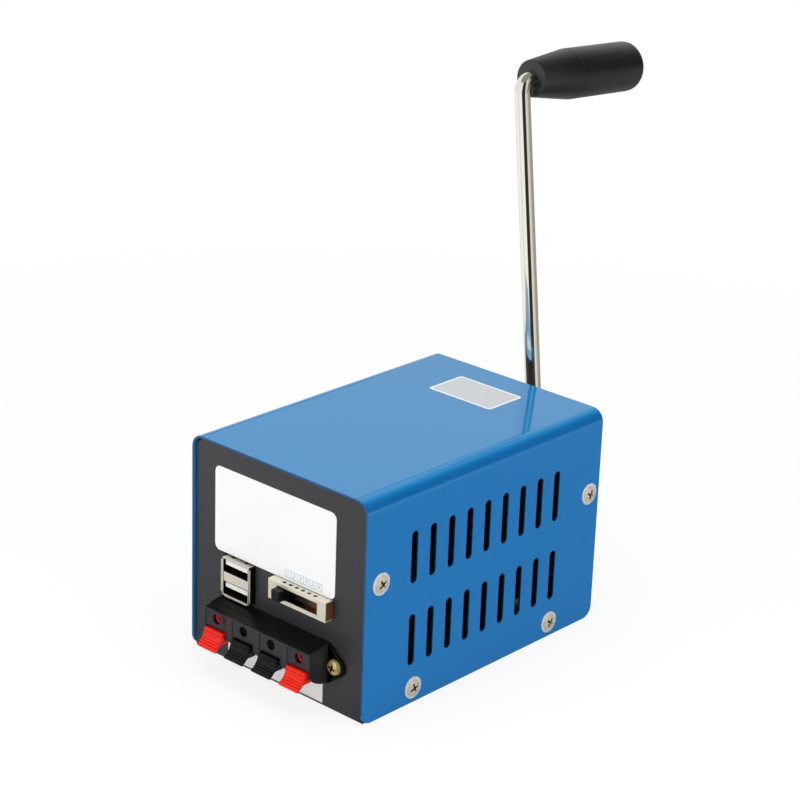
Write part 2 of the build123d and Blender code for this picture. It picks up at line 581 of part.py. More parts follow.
def make_usb_socket():
    front = PANEL_Y - USB_OUT
    with BuildPart() as usb_shell:
        with BuildSketch(facing_front(front)):
            with Locations((USB_X, USB_Z)):
                Rectangle(USB_W, USB_H)
                Rectangle(USB_W - 2 * USB_WALL, USB_H - 2 * USB_WALL, mode=Mode.SUBTRACT)
        extrude(amount=-USB_DEPTH)
        for side in (-1, 1):
            lip_x = USB_X + side * (USB_W / 2 - USB_WALL)
            with BuildSketch(Plane.XY.offset(USB_Z - USB_H / 2 + 1)):
                with BuildLine():
                    Polyline((lip_x, front + 1.0), (lip_x + side * 0.8, front - 0.001),
                             (lip_x + side * 1.15, front - 0.001), (lip_x + side * 0.4, front + 1.0),
                             (lip_x, front + 1.0))
                make_face()
            extrude(amount=USB_H - 2)
            lip_z = USB_Z + side * (USB_H / 2 - USB_WALL)
            with BuildSketch(facing_side(USB_X - USB_W / 2 + 1)):
                with BuildLine():
                    Polyline((front + 1.0, lip_z), (front - 0.001, lip_z + side * 0.5),
                             (front - 0.001, lip_z + side * 0.9), (front + 1.0, lip_z + side * 0.4),
                             (front + 1.0, lip_z))
                make_face()
            extrude(amount=USB_W - 2)
        with BuildSketch(Plane.XY.offset(USB_Z + USB_H / 2 + 1)):
            with Locations((USB_X - 3.4, front + 5), (USB_X + 3.4, front + 5)):
                Rectangle(1.4, 6.5)
        extrude(amount=-2, mode=Mode.SUBTRACT)
    save(usb_shell.part, "usb_shell")

    with BuildPart() as usb_divider:
        with Locations((USB_X, front + USB_DEPTH / 2, USB_Z)):
            Box(USB_PORT_W, USB_DEPTH - 0.4, USB_H - 2 * USB_WALL - 2 * USB_PORT_H)
    save(usb_divider.part, "usb_divider")

    with BuildPart() as usb_insulators:
        for x, z in port_centres():
            with Locations((x, front + USB_DEPTH - 1.6, z)):
                Box(USB_PORT_W, 3.0, USB_PORT_H)
            with Locations((x, front + USB_DEPTH / 2 - 1.0, z + USB_PORT_H / 2 - 0.5 - TONGUE_T / 2)):
                Box(TONGUE_W, USB_DEPTH - 3.2, TONGUE_T)
    save(usb_insulators.part, "usb_insulators")

    with BuildPart() as usb_contacts:
        for x, z in port_centres():
            under = z + USB_PORT_H / 2 - 0.5 - TONGUE_T
            for offset_x in (-3.5, -1.0, 1.0, 3.5):
                with Locations((x + offset_x, front + USB_DEPTH / 2 - 1.2, under - 0.15)):
                    Box(1.0, USB_DEPTH - 4.6, 0.3)
    save(usb_contacts.part, "usb_contacts")


def make_switch():
    front = PANEL_Y - SWITCH_OUT
    half_w, half_h = SWITCH_W / 2, SWITCH_H / 2
    with BuildPart() as switch_frame:
        with BuildSketch(facing_front(front)):
            with Locations((SWITCH_X, SWITCH_Z)):
                Rectangle(SWITCH_W, SWITCH_H)
                Rectangle(SWITCH_SLOT_W, SWITCH_SLOT_H, mode=Mode.SUBTRACT)
        extrude(amount=-SWITCH_SHEET)
        with Locations((SWITCH_X, front + 4.0, SWITCH_Z + half_h - SWITCH_SHEET / 2)):
            Box(SWITCH_W, 8.0, SWITCH_SHEET)
        with Locations((SWITCH_X, front + 4.0, SWITCH_Z - half_h + SWITCH_SHEET / 2)):
            Box(SWITCH_W, 8.0, SWITCH_SHEET)
        long_edges = switch_frame.edges().filter_by(Axis.X).group_by(Axis.Y)[0]
        fillet(long_edges.sort_by(Axis.Z)[-1:], 0.35)
        with BuildSketch(Plane.XY.offset(SWITCH_Z + half_h + 1)):
            for step in range(SWITCH_POSITIONS):
                with Locations((SWITCH_X - 7.5 + step * SWITCH_STEP, front + 1.6)):
                    Rectangle(1.1, 0.9)
        extrude(amount=-2, mode=Mode.SUBTRACT)
    save(switch_frame.part, "switch_frame")

    base_front = front + SWITCH_SHEET
    with BuildPart() as switch_base:
        with Locations((SWITCH_X, base_front + 3.8, SWITCH_Z)):
            Box(SWITCH_W - 0.6, 7.6, SWITCH_H - 2 * SWITCH_SHEET)
        with Locations((SWITCH_X, base_front + 2.0, SWITCH_Z)):
            Box(SWITCH_W - 3.0, 4.0, SWITCH_H - 2 * SWITCH_SHEET - 1.0, mode=Mode.SUBTRACT)
    save(switch_base.part, "switch_base")

    knob_x = SWITCH_X - (SWITCH_POSITIONS - 1) * SWITCH_STEP / 2
    with BuildPart() as switch_slider:
        with Locations((knob_x, (front - KNOB_OUT + base_front + 0.4) / 2, SWITCH_Z)):
            Box(KNOB_W, base_front + 0.4 - front + KNOB_OUT, KNOB_H)
        fillet(switch_slider.faces().sort_by(Axis.Y)[0].edges(), 0.3)
        with Locations((knob_x, base_front + 2.0, SWITCH_Z)):
            Box(KNOB_W + 1.6, 3.2, 5.0)
    save(switch_slider.part, "switch_slider")

    with BuildPart() as switch_pins:
        pin_root = base_front + 7.6
        with Locations((SWITCH_X, (pin_root + BOARD_Y) / 2, SWITCH_Z)):
            with GridLocations(SWITCH_STEP, 1, SWITCH_POSITIONS + 1, 1):
                for z in (-2.2, 2.2):
                    with Locations((0, 0, z)):
                        Box(0.8, BOARD_Y - pin_root, 0.4)
    save(switch_pins.part, "switch_pins")


# ================= spring-clip terminal =================

TERM_FRONT_Y = PANEL_Y - TERM_OUT
WALL_BACK_Y = TERM_FRONT_Y + 2.8                  # inner face of the terminal's front wall
CAVITY_TOP = WIRE_Z + WIRE_R + 0.1
LEVER_BORE_Z = WIRE_Z - 1.7


def make_terminal_body():
    """Moulded block with four lever pockets, wire holes and two screw ears."""
    with BuildPart() as terminal_body:
        with BuildSketch(facing_side(-TERM_HALF_W)):
            with BuildLine():
                Line((PANEL_Y, TERM_REAR_LOW), (PANEL_Y, TERM_TOP_REAR))
                Line((PANEL_Y, TERM_TOP_REAR), (TERM_FRONT_Y, TERM_TOP_FRONT))
                Line((TERM_FRONT_Y, TERM_TOP_FRONT), (TERM_FRONT_Y, TERM_FRONT_LOW))
                ThreePointArc((TERM_FRONT_Y, TERM_FRONT_LOW), (PANEL_Y - 7.6, 13.2), (PANEL_Y - 3.4, 11.5))
                Line((PANEL_Y - 3.4, 11.5), (PANEL_Y, TERM_REAR_LOW))
            make_face()
        extrude(amount=2 * TERM_HALF_W)
        with BuildSketch(facing_front(PANEL_Y)):
            with BuildLine():
                for side in (-1, 1):
                    CenterArc((side * TERM_SCREW_X, TERM_SCREW_Z), EAR_R, 0, 360)
                    Line((side * TERM_HALF_W, TERM_REAR_LOW), (side * TERM_HALF_W, TERM_TOP_REAR))
            make_hull()
            with Locations((-TERM_SCREW_X, TERM_SCREW_Z), (TERM_SCREW_X, TERM_SCREW_Z)):
                RegularPolygon(1.6, SHANK_SIDES, mode=Mode.SUBTRACT)
        extrude(amount=FLANGE_T)
        with Locations((0, PANEL_Y + 2.5, TERM_SCREW_Z)):
            Box(49.8, 5.0, 12.2)
        for number in TERMINALS:
            x = terminal_x(number)
            with BuildSketch(facing_front(TERM_FRONT_Y)):
                with Locations((x, (LEVER_TOP + 24.2) / 2)):
                    Rectangle(10.8, 24.2 - LEVER_TOP)
            extrude(amount=-0.4, mode=Mode.SUBTRACT)
            with Locations((x, TERM_FRONT_Y - 1, LEVER_TOP + 0.2)):
                Box(POCKET_W, 7.0, 10, align=(Align.CENTER, Align.MIN, Align.MAX), mode=Mode.SUBTRACT)
            with Locations((x, WALL_BACK_Y, CAVITY_TOP)):
                Box(POCKET_W, 16, CAVITY_TOP - 13.2, align=(Align.CENTER, Align.MIN, Align.MAX),
                    mode=Mode.SUBTRACT)
            with BuildSketch(facing_front(TERM_FRONT_Y)):
                with Locations((x, WIRE_Z)):
                    Circle(WIRE_R)
            extrude(amount=-4, mode=Mode.SUBTRACT)
        with BuildSketch(facing_side(-TERM_HALF_W + 0.3)):
            with Locations((PIVOT_Y, PIVOT_Z)):
                RegularPolygon(PIVOT_R + RUNNING, SHANK_SIDES, major_radius=False)
        extrude(amount=2 * TERM_HALF_W - 0.6, mode=Mode.SUBTRACT)
    save(terminal_body.part, "terminal_body")


def make_terminal_lever(number):
    """Push lever: a ribbed thumb pad outside, and an arm behind the wire hole."""
    x = terminal_x(number)
    pad_top = (TERM_FRONT_Y - 0.9, LEVER_TOP)
    lip_top = (TERM_FRONT_Y - 4.7, 11.8)
    notch = (TERM_FRONT_Y - 1.5, 13.4)
    heel = (PIVOT_Y + 3.0, 14.6)
    shoulder_z = LEVER_TOP - 0.3
    with BuildPart() as lever:
        with BuildSketch(facing_side(x - LEVER_W / 2)):
            with BuildLine():
                Line((TERM_FRONT_Y + 0.6, shoulder_z), pad_top)
                pad = ThreePointArc(pad_top, (TERM_FRONT_Y - 1.8, 14.2), lip_top)
                Polyline(lip_top, (TERM_FRONT_Y - 4.3, 11.1), notch, (PIVOT_Y + 0.2, 13.3), heel)
                Polyline(heel, (WALL_BACK_Y + 3.6, ARM_TIP_Z), (WALL_BACK_Y + 2.2, ARM_TIP_Z),
                         (WALL_BACK_Y + 1.0, shoulder_z), (TERM_FRONT_Y + 0.6, shoulder_z))
            make_face()
            with Locations(*[pad @ (0.12 + 0.15 * k) for k in range(RIDGES)]):
                RegularPolygon(RIDGE_R, 6)
        extrude(amount=LEVER_W)
        with BuildSketch(facing_front(WALL_BACK_Y)):
            with Locations((x, LEVER_BORE_Z)):
                RegularPolygon(1.2, SHANK_SIDES)
        extrude(amount=-6, mode=Mode.SUBTRACT)
        with BuildSketch(facing_side(x - POCKET_W / 2 - PIVOT_REACH)):
            with Locations((PIVOT_Y, PIVOT_Z)):
                RegularPolygon(PIVOT_R, SHANK_SIDES)
        extrude(amount=POCKET_W + 2 * PIVOT_REACH)
    save(lever.part, f"terminal_lever_{number}")


def make_terminal_metalwork():
    with BuildPart() as terminal_contacts:
        for number in TERMINALS:
            x = terminal_x(number)
            with Locations((x, (WALL_BACK_Y + 1 + BOARD_Y - 1.5) / 2, CAVITY_TOP - 0.2)):
                Box(5.0, BOARD_Y - 1.5 - WALL_BACK_Y - 1, 0.4)
            with Locations((x, PANEL_Y + 4.6, CAVITY_TOP - 4.3)):
                Box(6.4, 0.4, 7.8)
            with Locations((x, PANEL_Y + 2.2, CAVITY_TOP - 8.0)):
                Box(4.0, 4.8, 0.4)
    save(terminal_contacts.part, "terminal_contacts")

    with BuildPart() as terminal_screws:
        spots = [(-TERM_SCREW_X, TERM_SCREW_Z), (TERM_SCREW_X, TERM_SCREW_Z)]
        with BuildSketch(facing_front(PANEL_Y - FLANGE_T)):
            with Locations(*spots):
                RegularPolygon(2.8, BUSH_SIDES)
        extrude(amount=1.9, taper=16)
        with BuildSketch(facing_front(PANEL_Y - FLANGE_T)):
            with Locations(*spots):
                RegularPolygon(1.45, SHANK_SIDES)
        extrude(amount=-7)
    save(terminal_screws.part, "terminal_screws")

    with BuildPart() as terminal_nuts:
        with BuildSketch(facing_front(PANEL_Y + SHEET)):
            with Locations(*spots):
                RegularPolygon(3.0, 6)
                RegularPolygon(1.45, SHANK_SIDES, mode=Mode.SUBTRACT)
        extrude(amount=-2.2)
    save(terminal_nuts.part, "terminal_nuts")


# ================= circuit board =================

def make_board():
    back = BOARD_Y + BOARD_T
    with BuildPart() as circuit_board:
        with BuildSketch(facing_front(BOARD_Y)):
            with Locations(((BOARD_X0 + BOARD_X1) / 2, (BOARD_Z0 + BOARD_Z1) / 2)):
                Rectangle(BOARD_X1 - BOARD_X0, BOARD_Z1 - BOARD_Z0)
            with Locations(*BOARD_SPACERS):
                RegularPolygon(1.5, SHANK_SIDES, mode=Mode.SUBTRACT)
        extrude(amount=-BOARD_T)
    save(circuit_board.part, "circuit_board")

    with BuildPart() as board_spacers:
        with BuildSketch(facing_front(PANEL_Y + SHEET)):
            with Locations(*BOARD_SPACERS):
                RegularPolygon(2.9, 6)
        extrude(amount=-(BOARD_Y - PANEL_Y - SHEET))
        with BuildSketch(facing_front(PANEL_Y + 0.05)):
            with Locations(*BOARD_SPACERS):
                RegularPolygon(1.5, SHANK_SIDES)
        extrude(amount=-1)
    save(board_spacers.part, "board_spacers")

    with BuildPart() as board_screws:
        with BuildSketch(facing_front(back)):
            with Locations(*BOARD_SPACERS):
                RegularPolygon(2.6, HEAD_SIDES)
        extrude(amount=-1.6)
        with BuildSketch(facing_front(back)):
            with Locations(*BOARD_SPACERS):
                RegularPolygon(1.45, SHANK_SIDES)
        extrude(amount=BOARD_T)
    save(board_screws.part, "board_screws")

    with BuildPart() as capacitors:
        for x, z in ((-14, 60), (3, 60)):
            prism(back, back + 24, 7.5, x, z, BUSH_SIDES)
    save(capacitors.part, "capacitors")

    with BuildPart() as choke:
        with BuildSketch(facing_front(back)):
            with Locations((22, 59.5)):
                RegularPolygon(7.5, BUSH_SIDES)
                RegularPolygon(3.2, HEAD_SIDES, mode=Mode.SUBTRACT)
        extrude(amount=-8)
    save(choke.part, "choke")

    with BuildPart() as bridge_rectifier:
        with Locations((6, back + 2, 39.2)):
            Box(15, 4, 12)
        chamfer(bridge_rectifier.edges().filter_by(Axis.Y).sort_by(Axis.X)[-1:], 2)
    save(bridge_rectifier.part, "bridge_rectifier")

    with BuildPart() as heat_sink:
        with Locations((-26, back + 1, 39.2)):
            Box(16, 2, 13.6)
        with Locations((-26, back + 6, 39.2)):
            with GridLocations(3.6, 1, 5, 1):
                Box(1.2, 8, 13.6)
    save(heat_sink.part, "heat_sink")

    with BuildPart() as regulator:
        with Locations((-13, back + 2.2, 39.2)):
            Box(9.5, 4.4, 12)
    save(regulator.part, "regulator")


def make_leads():
    """Two insulated leads from the motor's tabs, and four bent straps to the terminal contacts."""
    back = BOARD_Y + BOARD_T
    tab_y = FRONT_PLATE_Y - CAN_LEN - 8.5
    for side, colour in ((-1, "red"), (1, "black")):
        x = MOTOR_X + side * 11
        with BuildPart() as motor_lead:
            with BuildLine() as route:
                Polyline((x, tab_y, MOTOR_Z), (x, tab_y - 8, MOTOR_Z), (x, tab_y - 15, MOTOR_Z + 5.4),
                         (x, back, MOTOR_Z + 5.4))
            with BuildSketch(Plane(origin=route.line @ 0, z_dir=route.line % 0)):
                RegularPolygon(LEAD_R, SHANK_SIDES)
            sweep(path=route.line, transition=Transition.RIGHT)
        save(motor_lead.part, f"motor_lead_{colour}")

    low_z, high_z = CAVITY_TOP + STRAP_T / 2, CAVITY_TOP + 7.0
    loop_y = BOARD_Y + 7.0
    with BuildPart() as output_leads:
        for number in TERMINALS:
            x = terminal_x(number)
            with Locations((x, loop_y - 6.75, low_z)):
                Box(STRAP_W, 13.5, STRAP_T)
            with Locations((x, loop_y - STRAP_T / 2, (low_z + high_z) / 2)):
                Box(STRAP_W, STRAP_T, high_z - low_z + STRAP_T)
            with Locations((x, (back + loop_y) / 2, high_z)):
                Box(STRAP_W, loop_y - back, STRAP_T)
    save(output_leads.part, "output_leads")


def main():
    os.makedirs("parts", exist_ok=True)
    make_cover()
    make_chassis()
    make_cover_screws()
    make_labels()
    make_crank_rod()
    make_crank_hub()
    make_grip()
    make_crank_shaft()
    make_crank_gear()
    make_idler()
    make_gearbox_plates()
    make_bushings()
    make_gearbox_screws()
    make_motor()
    make_rotor()
    make_usb_socket()
    make_switch()
    make_terminal_body()
    for number in TERMINALS:
        make_terminal_lever(number)
    make_terminal_metalwork()
    make_board()
    make_leads()


main()
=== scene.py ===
"""Looks of the hand crank generator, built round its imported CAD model.

All places are in metres in the model's own frame: +X right of the control panel, +Y back to the crank, +Z up.
Sizes are written in millimetres and turned to metres by MM.
"""

import json
from math import cos, pi, radians, sin

import bmesh
import bpy
from mathutils import Matrix, Vector


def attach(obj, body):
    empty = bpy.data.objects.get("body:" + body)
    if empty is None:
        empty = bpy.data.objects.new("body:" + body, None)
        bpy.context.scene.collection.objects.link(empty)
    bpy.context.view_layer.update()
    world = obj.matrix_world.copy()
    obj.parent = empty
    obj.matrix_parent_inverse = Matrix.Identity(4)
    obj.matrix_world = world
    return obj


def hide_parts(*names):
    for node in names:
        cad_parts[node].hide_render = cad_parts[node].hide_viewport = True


MM = 0.001

# ---- camera, solved from the photograph's edges ----
LENS, SENSOR = 108.764, 36.0
EYE = (0.54261, -0.60187, 0.40618)
EYE_RIGHT = (0.73302241, 0.67943012, 0.03244782)
EYE_UP = (-0.26799137, 0.24462749, 0.93184656)
EYE_FORWARD = (-0.62518699, 0.69176015, -0.36139884)

# ---- the studio as gloss sees it: bearings in degrees from the camera, anticlockwise seen from above ----
ROD_FOOT = (-0.01, 0.079, 0.0)
TOWARDS_EYE, ACROSS_EYE = (0.629, -0.777, 0.0), (0.733, 0.679, 0.0)
PAPER_WHITE, COOL_WHITE, WARM_WALL = (1, 1, 1, 1), (0.95, 1, 1, 1), (0.8, 0.76, 0.7, 1)
FOLD_GREY, CEILING = (0.78, 0.78, 0.79, 1), (0.3, 0.3, 0.3, 1)
GREY_WALL, STAND_DARK = (0.35, 0.34, 0.33, 1), (0.03, 0.03, 0.03, 1)
CAMERA_STAND = [(-12, PAPER_WHITE), (-8, STAND_DARK), (36, STAND_DARK), (40, WARM_WALL), (60, WARM_WALL)]
PAPER_BEARINGS = [(-180, PAPER_WHITE), (-150, FOLD_GREY), (-110, PAPER_WHITE), (-80, PAPER_WHITE),
                  (-62, FOLD_GREY), (-45, PAPER_WHITE), *CAMERA_STAND, (95, GREY_WALL), (160, GREY_WALL),
                  (180, PAPER_WHITE)]
ROOM_BEARINGS = [(-180, COOL_WHITE), *CAMERA_STAND, (85, STAND_DARK), (118, STAND_DARK), (140, GREY_WALL),
                 (165, COOL_WHITE), (180, COOL_WHITE)]
ROOM_GLOSS, ROOM_LIGHT = 0.88, 0.45             # strength of the room in gloss, and as light
CEILING_FROM, CEILING_FULL = 0.76, 0.84         # sines of the heights where walls turn to ceiling

# ---- the paper close to the box as gloss sees it, and how far out in metres the walls take over ----
SHADE_LEFT, SHADE_RIGHT = (0.5, 0.5, 0.52, 1), (0.18, 0.18, 0.18, 1)
SHADE_ENDS_LEFT, SHADE_ENDS_RIGHT = (0.08, 0.3), (0.16, 0.46)
SHADE_TURNS = (0.02, 0.045)                     # x where the left tone gives way to the right one
SHADOW_KEPT, SHADOW_ENDS = 0.17, (0.22, 0.55)   # share of the paper's shading that the camera sees

# ---- soft boxes: name, place, aim, width, height, watts ----
LAMPS = [("top_box", (0.1, -0.1, 1.1), (0, 0, 0.05), 1.0, 1.0, 9.0),
         ("right_box", (1.15, -0.1, 0.4), (0, 0, 0.05), 0.8, 0.7, 3.3),
         ("front_box", (-0.3, -1.2, 0.3), (0, -0.05, 0.04), 0.8, 0.5, 3.9)]

# ---- sizes shared with the solids, in millimetres ----
COVER_HALF_W, COVER_HALF_D, COVER_H = 43.0, 63.0, 84.0
PANEL_Y, REAR_Y = -62.0, 62.0
SIDE_SCREWS = [(-55.4, 52.2), (57.0, 52.2), (-37.3, 6.2), (37.3, 6.2)]
PILLARS = [(-34.0, 67.0), (34.0, 67.0), (34.0, 12.0), (-34.5, 46.0)]
TERMINAL_SCREWS = [(-29.9, 18.5), (29.9, 18.5)]
FLANGE_Y = PANEL_Y - 1.2                        # front of the flange that holds the terminal
SLOT_COUNT, SLOT_PITCH, SLOT_ROW_PITCH = 9, 9.55, 31.65
SLOT_W, SLOT_H, SLOT_MID = 3.0, 19.5, (-0.6, 41.1)
GEARBOX_FRONT_Y, GEARBOX_REAR_Y, GEARBOX_PLATE_T = 30.0, 58.5, 2.5
SHAFT_Z, ARM_Y, ARM_LEN = 42.0, 79.0, 153.0
GRIP_BORE_R, BUSH_BORE_R = 3.08, 4.05           # bores of the grip and of the shaft's bushes
CRANK_TURN, GRIP_DROOP = radians(6.5), radians(3.8)
ARM_DIR = Vector((-sin(CRANK_TURN), 0, cos(CRANK_TURN)))
ARM_TOP = Vector((0, ARM_Y, SHAFT_Z)) + ARM_DIR * ARM_LEN
GRIP_DIR = Vector((0, 1, 0)) * cos(GRIP_DROOP) - ARM_DIR * sin(GRIP_DROOP)
TERMINAL_FRONT_Y, WIRE_PITCH, WIRE_Z, LEVER_W = -72.2, 13.75, 21.5, 9.2
LEVER_SLOTS = ("lever_red", "lever_black", "lever_black", "lever_red")
RIDGES, RIDGE_R = 7, 0.42
USB_X, USB_Z, USB_W, USB_H, USB_FRONT_Y = -18.9, 34.6, 13.4, 14.6, -64.3
SWITCH_X, SWITCH_W, SWITCH_TOP_Z, SWITCH_STEPS, SWITCH_STEP, NOTCH_Y = 12.8, 28.0, 42.5, 6, 3.0, -63.8
SCALE_LOW, SCALE_HIGH, SCALE_LINE, DIGIT_H, LABEL_Y, INK_T = 43.9, 46.6, 0.14, 2.2, -62.15, 0.03
STICKER_MID, STICKER_SIZE, STICKER_TOP, STICKER_RIM = (-0.7, 40.9), (30.2, 18.5), 84.12, 0.9
MOTOR_Z, MOTOR_R = 24.91, 18.0
PAD_TOP, PAD_MID, PAD_LIP = (-73.1, 17.6), (-74.0, 14.2), (-76.9, 11.8)  # (y, z) on the lever's thumb pad

# ---- the enamel: painted shade and painted light by share of the height from ENAMEL_LOW (mm) to the top, and its press mark ----
ENAMEL_LOW = 79.0
PRESS_MARK_X, PRESS_MARK_Y = 37.6, (20, 42)     # where the mark runs, and where it fades
# side tone, then a darker band of painted shade round the bend, then a greener top of painted light
ENAMEL_PAINTED_BANDS = [(0.0, "#1c75b7"), (0.15, "#1c75b7"), (0.4, "#12609e"), (0.66, "#12609e"), (0.9, "#147bb5"),
                (1.0, "#147bb5")]

# ================= small helpers =================


def linear(colour, alpha=1.0):
    """An sRGB hex colour as linear red, green, blue, alpha."""
    parts = [int(colour[k : k + 2], 16) / 255 for k in (1, 3, 5)]
    return [c / 12.92 if c <= 0.04045 else ((c + 0.055) / 1.055) ** 2.4 for c in parts] + [alpha]


def per_metre(size_mm):
    """The scale that gives a pattern this real size on Object coordinates."""
    return 1000.0 / size_mm


def add(tree, kind, sockets=None, **settings):
    """Adds a node, sets its properties, and fills its sockets by name or number with values or links."""
    node = tree.nodes.new(kind)
    for key, value in settings.items():
        setattr(node, key, value)
    for key, value in (sockets or {}).items():
        socket = node.inputs[key]
        if isinstance(value, bpy.types.NodeSocket):
            tree.links.new(value, socket)
        else:
            socket.default_value = value
    return node


def set_stops(colour_ramp, stops):
    """Colours at places along a ramp node. The first and last stops lie at its ends."""
    elements = colour_ramp.elements
    elements[0].color, elements[1].color = stops[0][1], stops[-1][1]
    for place, colour in stops[1:-1]:
        elements.new(place).color = colour


def new_finish(name, colour, roughness, metallic=0.0, **constants):
    """A material with one Principled shader. Constants sit on the shader's own sockets."""
    material = bpy.data.materials.new(name)
    material.use_nodes = True
    tree = material.node_tree
    shader = tree.nodes["Principled BSDF"]
    shader.inputs["Base Color"].default_value = linear(colour)
    shader.inputs["Roughness"].default_value = roughness
    shader.inputs["Metallic"].default_value = metallic
    for key, value in constants.items():
        shader.inputs[key.replace("_", " ")].default_value = value
    place = add(tree, "ShaderNodeTexCoord").outputs["Object"]
    return material, tree, shader, place


def mottle(tree, shader, place, size_mm, dark, light, rough_low, rough_high):
    """Colour and roughness that drift a little over the surface, as on any real batch of parts."""
    noise = add(tree, "ShaderNodeTexNoise", {"Vector": place, "Scale": per_metre(size_mm), "Detail": 3.0})
    cloud = noise.outputs["Fac"]
    tint = add(tree, "ShaderNodeMix", {0: cloud, 6: linear(dark), 7: linear(light)}, data_type="RGBA")
    gloss = add(tree, "ShaderNodeMapRange", {0: cloud, 1: 0.3, 2: 0.7, 3: rough_low, 4: rough_high})
    tree.links.new(tint.outputs[2], shader.inputs["Base Color"])
    tree.links.new(gloss.outputs[0], shader.inputs["Roughness"])


def grain(tree, shader, place, size_mm, height_mm, strength):
    """Fine relief of a coat or a moulding's texture.

    Pebble, spark grain and rolling marks are too fine to show, so they are drawn several times coarser.
    """
    bumps = add(tree, "ShaderNodeTexNoise", {"Vector": place, "Scale": per_metre(size_mm), "Detail": 2.0})
    depth = {"Height": bumps.outputs["Fac"], "Distance": height_mm * MM, "Strength": strength}
    tree.links.new(add(tree, "ShaderNodeBump", depth).outputs["Normal"], shader.inputs["Normal"])


def tint_crown_paint_shade(tree, shader, crown, painted_shade_colour):
    """Colours faces by their attribute of crown tint and painted shade: 0 open, 0.5 a screw's crown tint, 1
    painted shade in a recess or socket.

    The painted shade colour is linear, or a socket.
    """
    crown_and_painted_shade = add(tree, "ShaderNodeAttribute", attribute_name="crown_and_painted_shade").outputs["Fac"]
    plain = shader.inputs["Base Color"].links[0].from_socket
    warm = add(tree, "ShaderNodeMapRange", {0: crown_and_painted_shade, 1: 0.1, 2: 0.5}).outputs[0]
    deep = add(tree, "ShaderNodeMapRange", {0: crown_and_painted_shade, 1: 0.6, 2: 0.95}).outputs[0]
    raised = add(tree, "ShaderNodeMix", {0: warm, 6: plain, 7: linear(crown)}, data_type="RGBA")
    shade = add(tree, "ShaderNodeMix", {0: deep, 6: raised.outputs[2], 7: painted_shade_colour}, data_type="RGBA")
    tree.links.new(shade.outputs[2], shader.inputs["Base Color"])


# ================= finishes =================


def paint_light_and_shade_by_height(tree, shader, height):
    """Painted shade and light on the enamel by height: a darker band round the bends is painted shade, and
    the greener top is painted light.
    """
    share = add(tree, "ShaderNodeMapRange", {0: height, 1: ENAMEL_LOW * MM, 2: COVER_H * MM}).outputs[0]
    painted_tone = add(tree, "ShaderNodeValToRGB", {0: share})
    set_stops(painted_tone.color_ramp, [(place, linear(colour)) for place, colour in ENAMEL_PAINTED_BANDS])
    clouds = shader.inputs["Base Color"].links[0].from_socket
    colours = {0: 1.0, 6: painted_tone.outputs[0], 7: clouds}
    both = add(tree, "ShaderNodeMix", colours, data_type="RGBA", blend_type="MULTIPLY")
    tree.links.new(both.outputs[2], shader.inputs["Base Color"])


def press_mark(tree, shader, across, along):
    """The dull line that the press leaves where each bend begins. It fades towards the crank."""
    out = add(tree, "ShaderNodeMath", {0: across}, operation="ABSOLUTE").outputs[0]
    off = add(tree, "ShaderNodeMath", {0: out, 1: PRESS_MARK_X * MM}, operation="SUBTRACT").outputs[0]
    away = add(tree, "ShaderNodeMath", {0: off}, operation="ABSOLUTE").outputs[0]
    clear = add(tree, "ShaderNodeMapRange", {0: away, 1: 0.2 * MM, 2: 0.7 * MM}).outputs[0]
    near, far = (y * MM for y in PRESS_MARK_Y)
    fade = add(tree, "ShaderNodeMapRange", {0: along, 1: near, 2: far}).outputs[0]
    kept = add(tree, "ShaderNodeMath", {0: clear, 1: fade}, operation="MAXIMUM").outputs[0]
    gloss = add(tree, "ShaderNodeMapRange", {0: kept, 3: 0.05, 4: 0.5}).outputs[0]
    tree.links.new(gloss, shader.inputs["Specular IOR Level"])


def stove_enamel_blue():
    """Baked enamel on steel sheet: blue under a hard gloss with a faint orange peel."""
    material, tree, shader, place = new_finish("stove_enamel_blue", "#1c75b7", 0.07, IOR=1.5)
    mottle(tree, shader, place, 45, "#f8f9fa", "#ffffff", 0.05, 0.09)
    axes = add(tree, "ShaderNodeSeparateXYZ", {0: place}).outputs
    # painted shade round the bends and painted light on the top
    paint_light_and_shade_by_height(tree, shader, axes["Z"])
    press_mark(tree, shader, axes["X"], axes["Y"])
    grain(tree, shader, place, 2.2, 0.006, 0.14)
    return material


def enamel_painted_edge_shade(name, dark, light):
    """The same enamel made dark navy: painted shade for the sheet's cut edges and the walls of its slots."""
    material, tree, shader, place = new_finish(name, dark, 0.25, IOR=1.5)
    mottle(tree, shader, place, 6, dark, light, 0.22, 0.32)
    grain(tree, shader, place, 0.8, 0.01, 0.3)
    return material


def powder_coat_black():
    """Sprayed and baked powder: dark grey-black with a fine pebble that softens every highlight."""
    material, tree, shader, place = new_finish("powder_coat_black", "#2d2d2f", 0.34, IOR=1.5)
    mottle(tree, shader, place, 30, "#2b2b2d", "#2f2f32", 0.32, 0.4)
    grain(tree, shader, place, 0.6, 0.03, 0.3)
    return material


def zinc_plated_steel():
    """Bright zinc, blue passivated: a pale bluish washer face, a warmer crown and painted shade in the cross
    recess.
    """
    material, tree, shader, place = new_finish("zinc_plated_steel", "#e2e6ea", 0.3, 0.35)
    mottle(tree, shader, place, 1.5, "#dce1e6", "#eaedf0", 0.24, 0.36)
    grain(tree, shader, place, 0.35, 0.004, 0.2)
    # the dark colour is painted shade in the cross recess
    tint_crown_paint_shade(tree, shader, "#ddd2be", linear("#241e19"))
    return material


def brass_plated_steel():
    """Yellow passivated plate on the terminal's screws: pale gold, with dark olive painted shade in the cross
    recess.
    """
    material, tree, shader, place = new_finish("brass_plated_steel", "#e0c56e", 0.22, 0.7)
    mottle(tree, shader, place, 1.2, "#cdb265", "#eadba0", 0.22, 0.34)
    grain(tree, shader, place, 0.35, 0.004, 0.2)
    # the dark colour is painted shade in the cross recess
    tint_crown_paint_shade(tree, shader, "#dcc783", linear("#2e2612"))
    return material


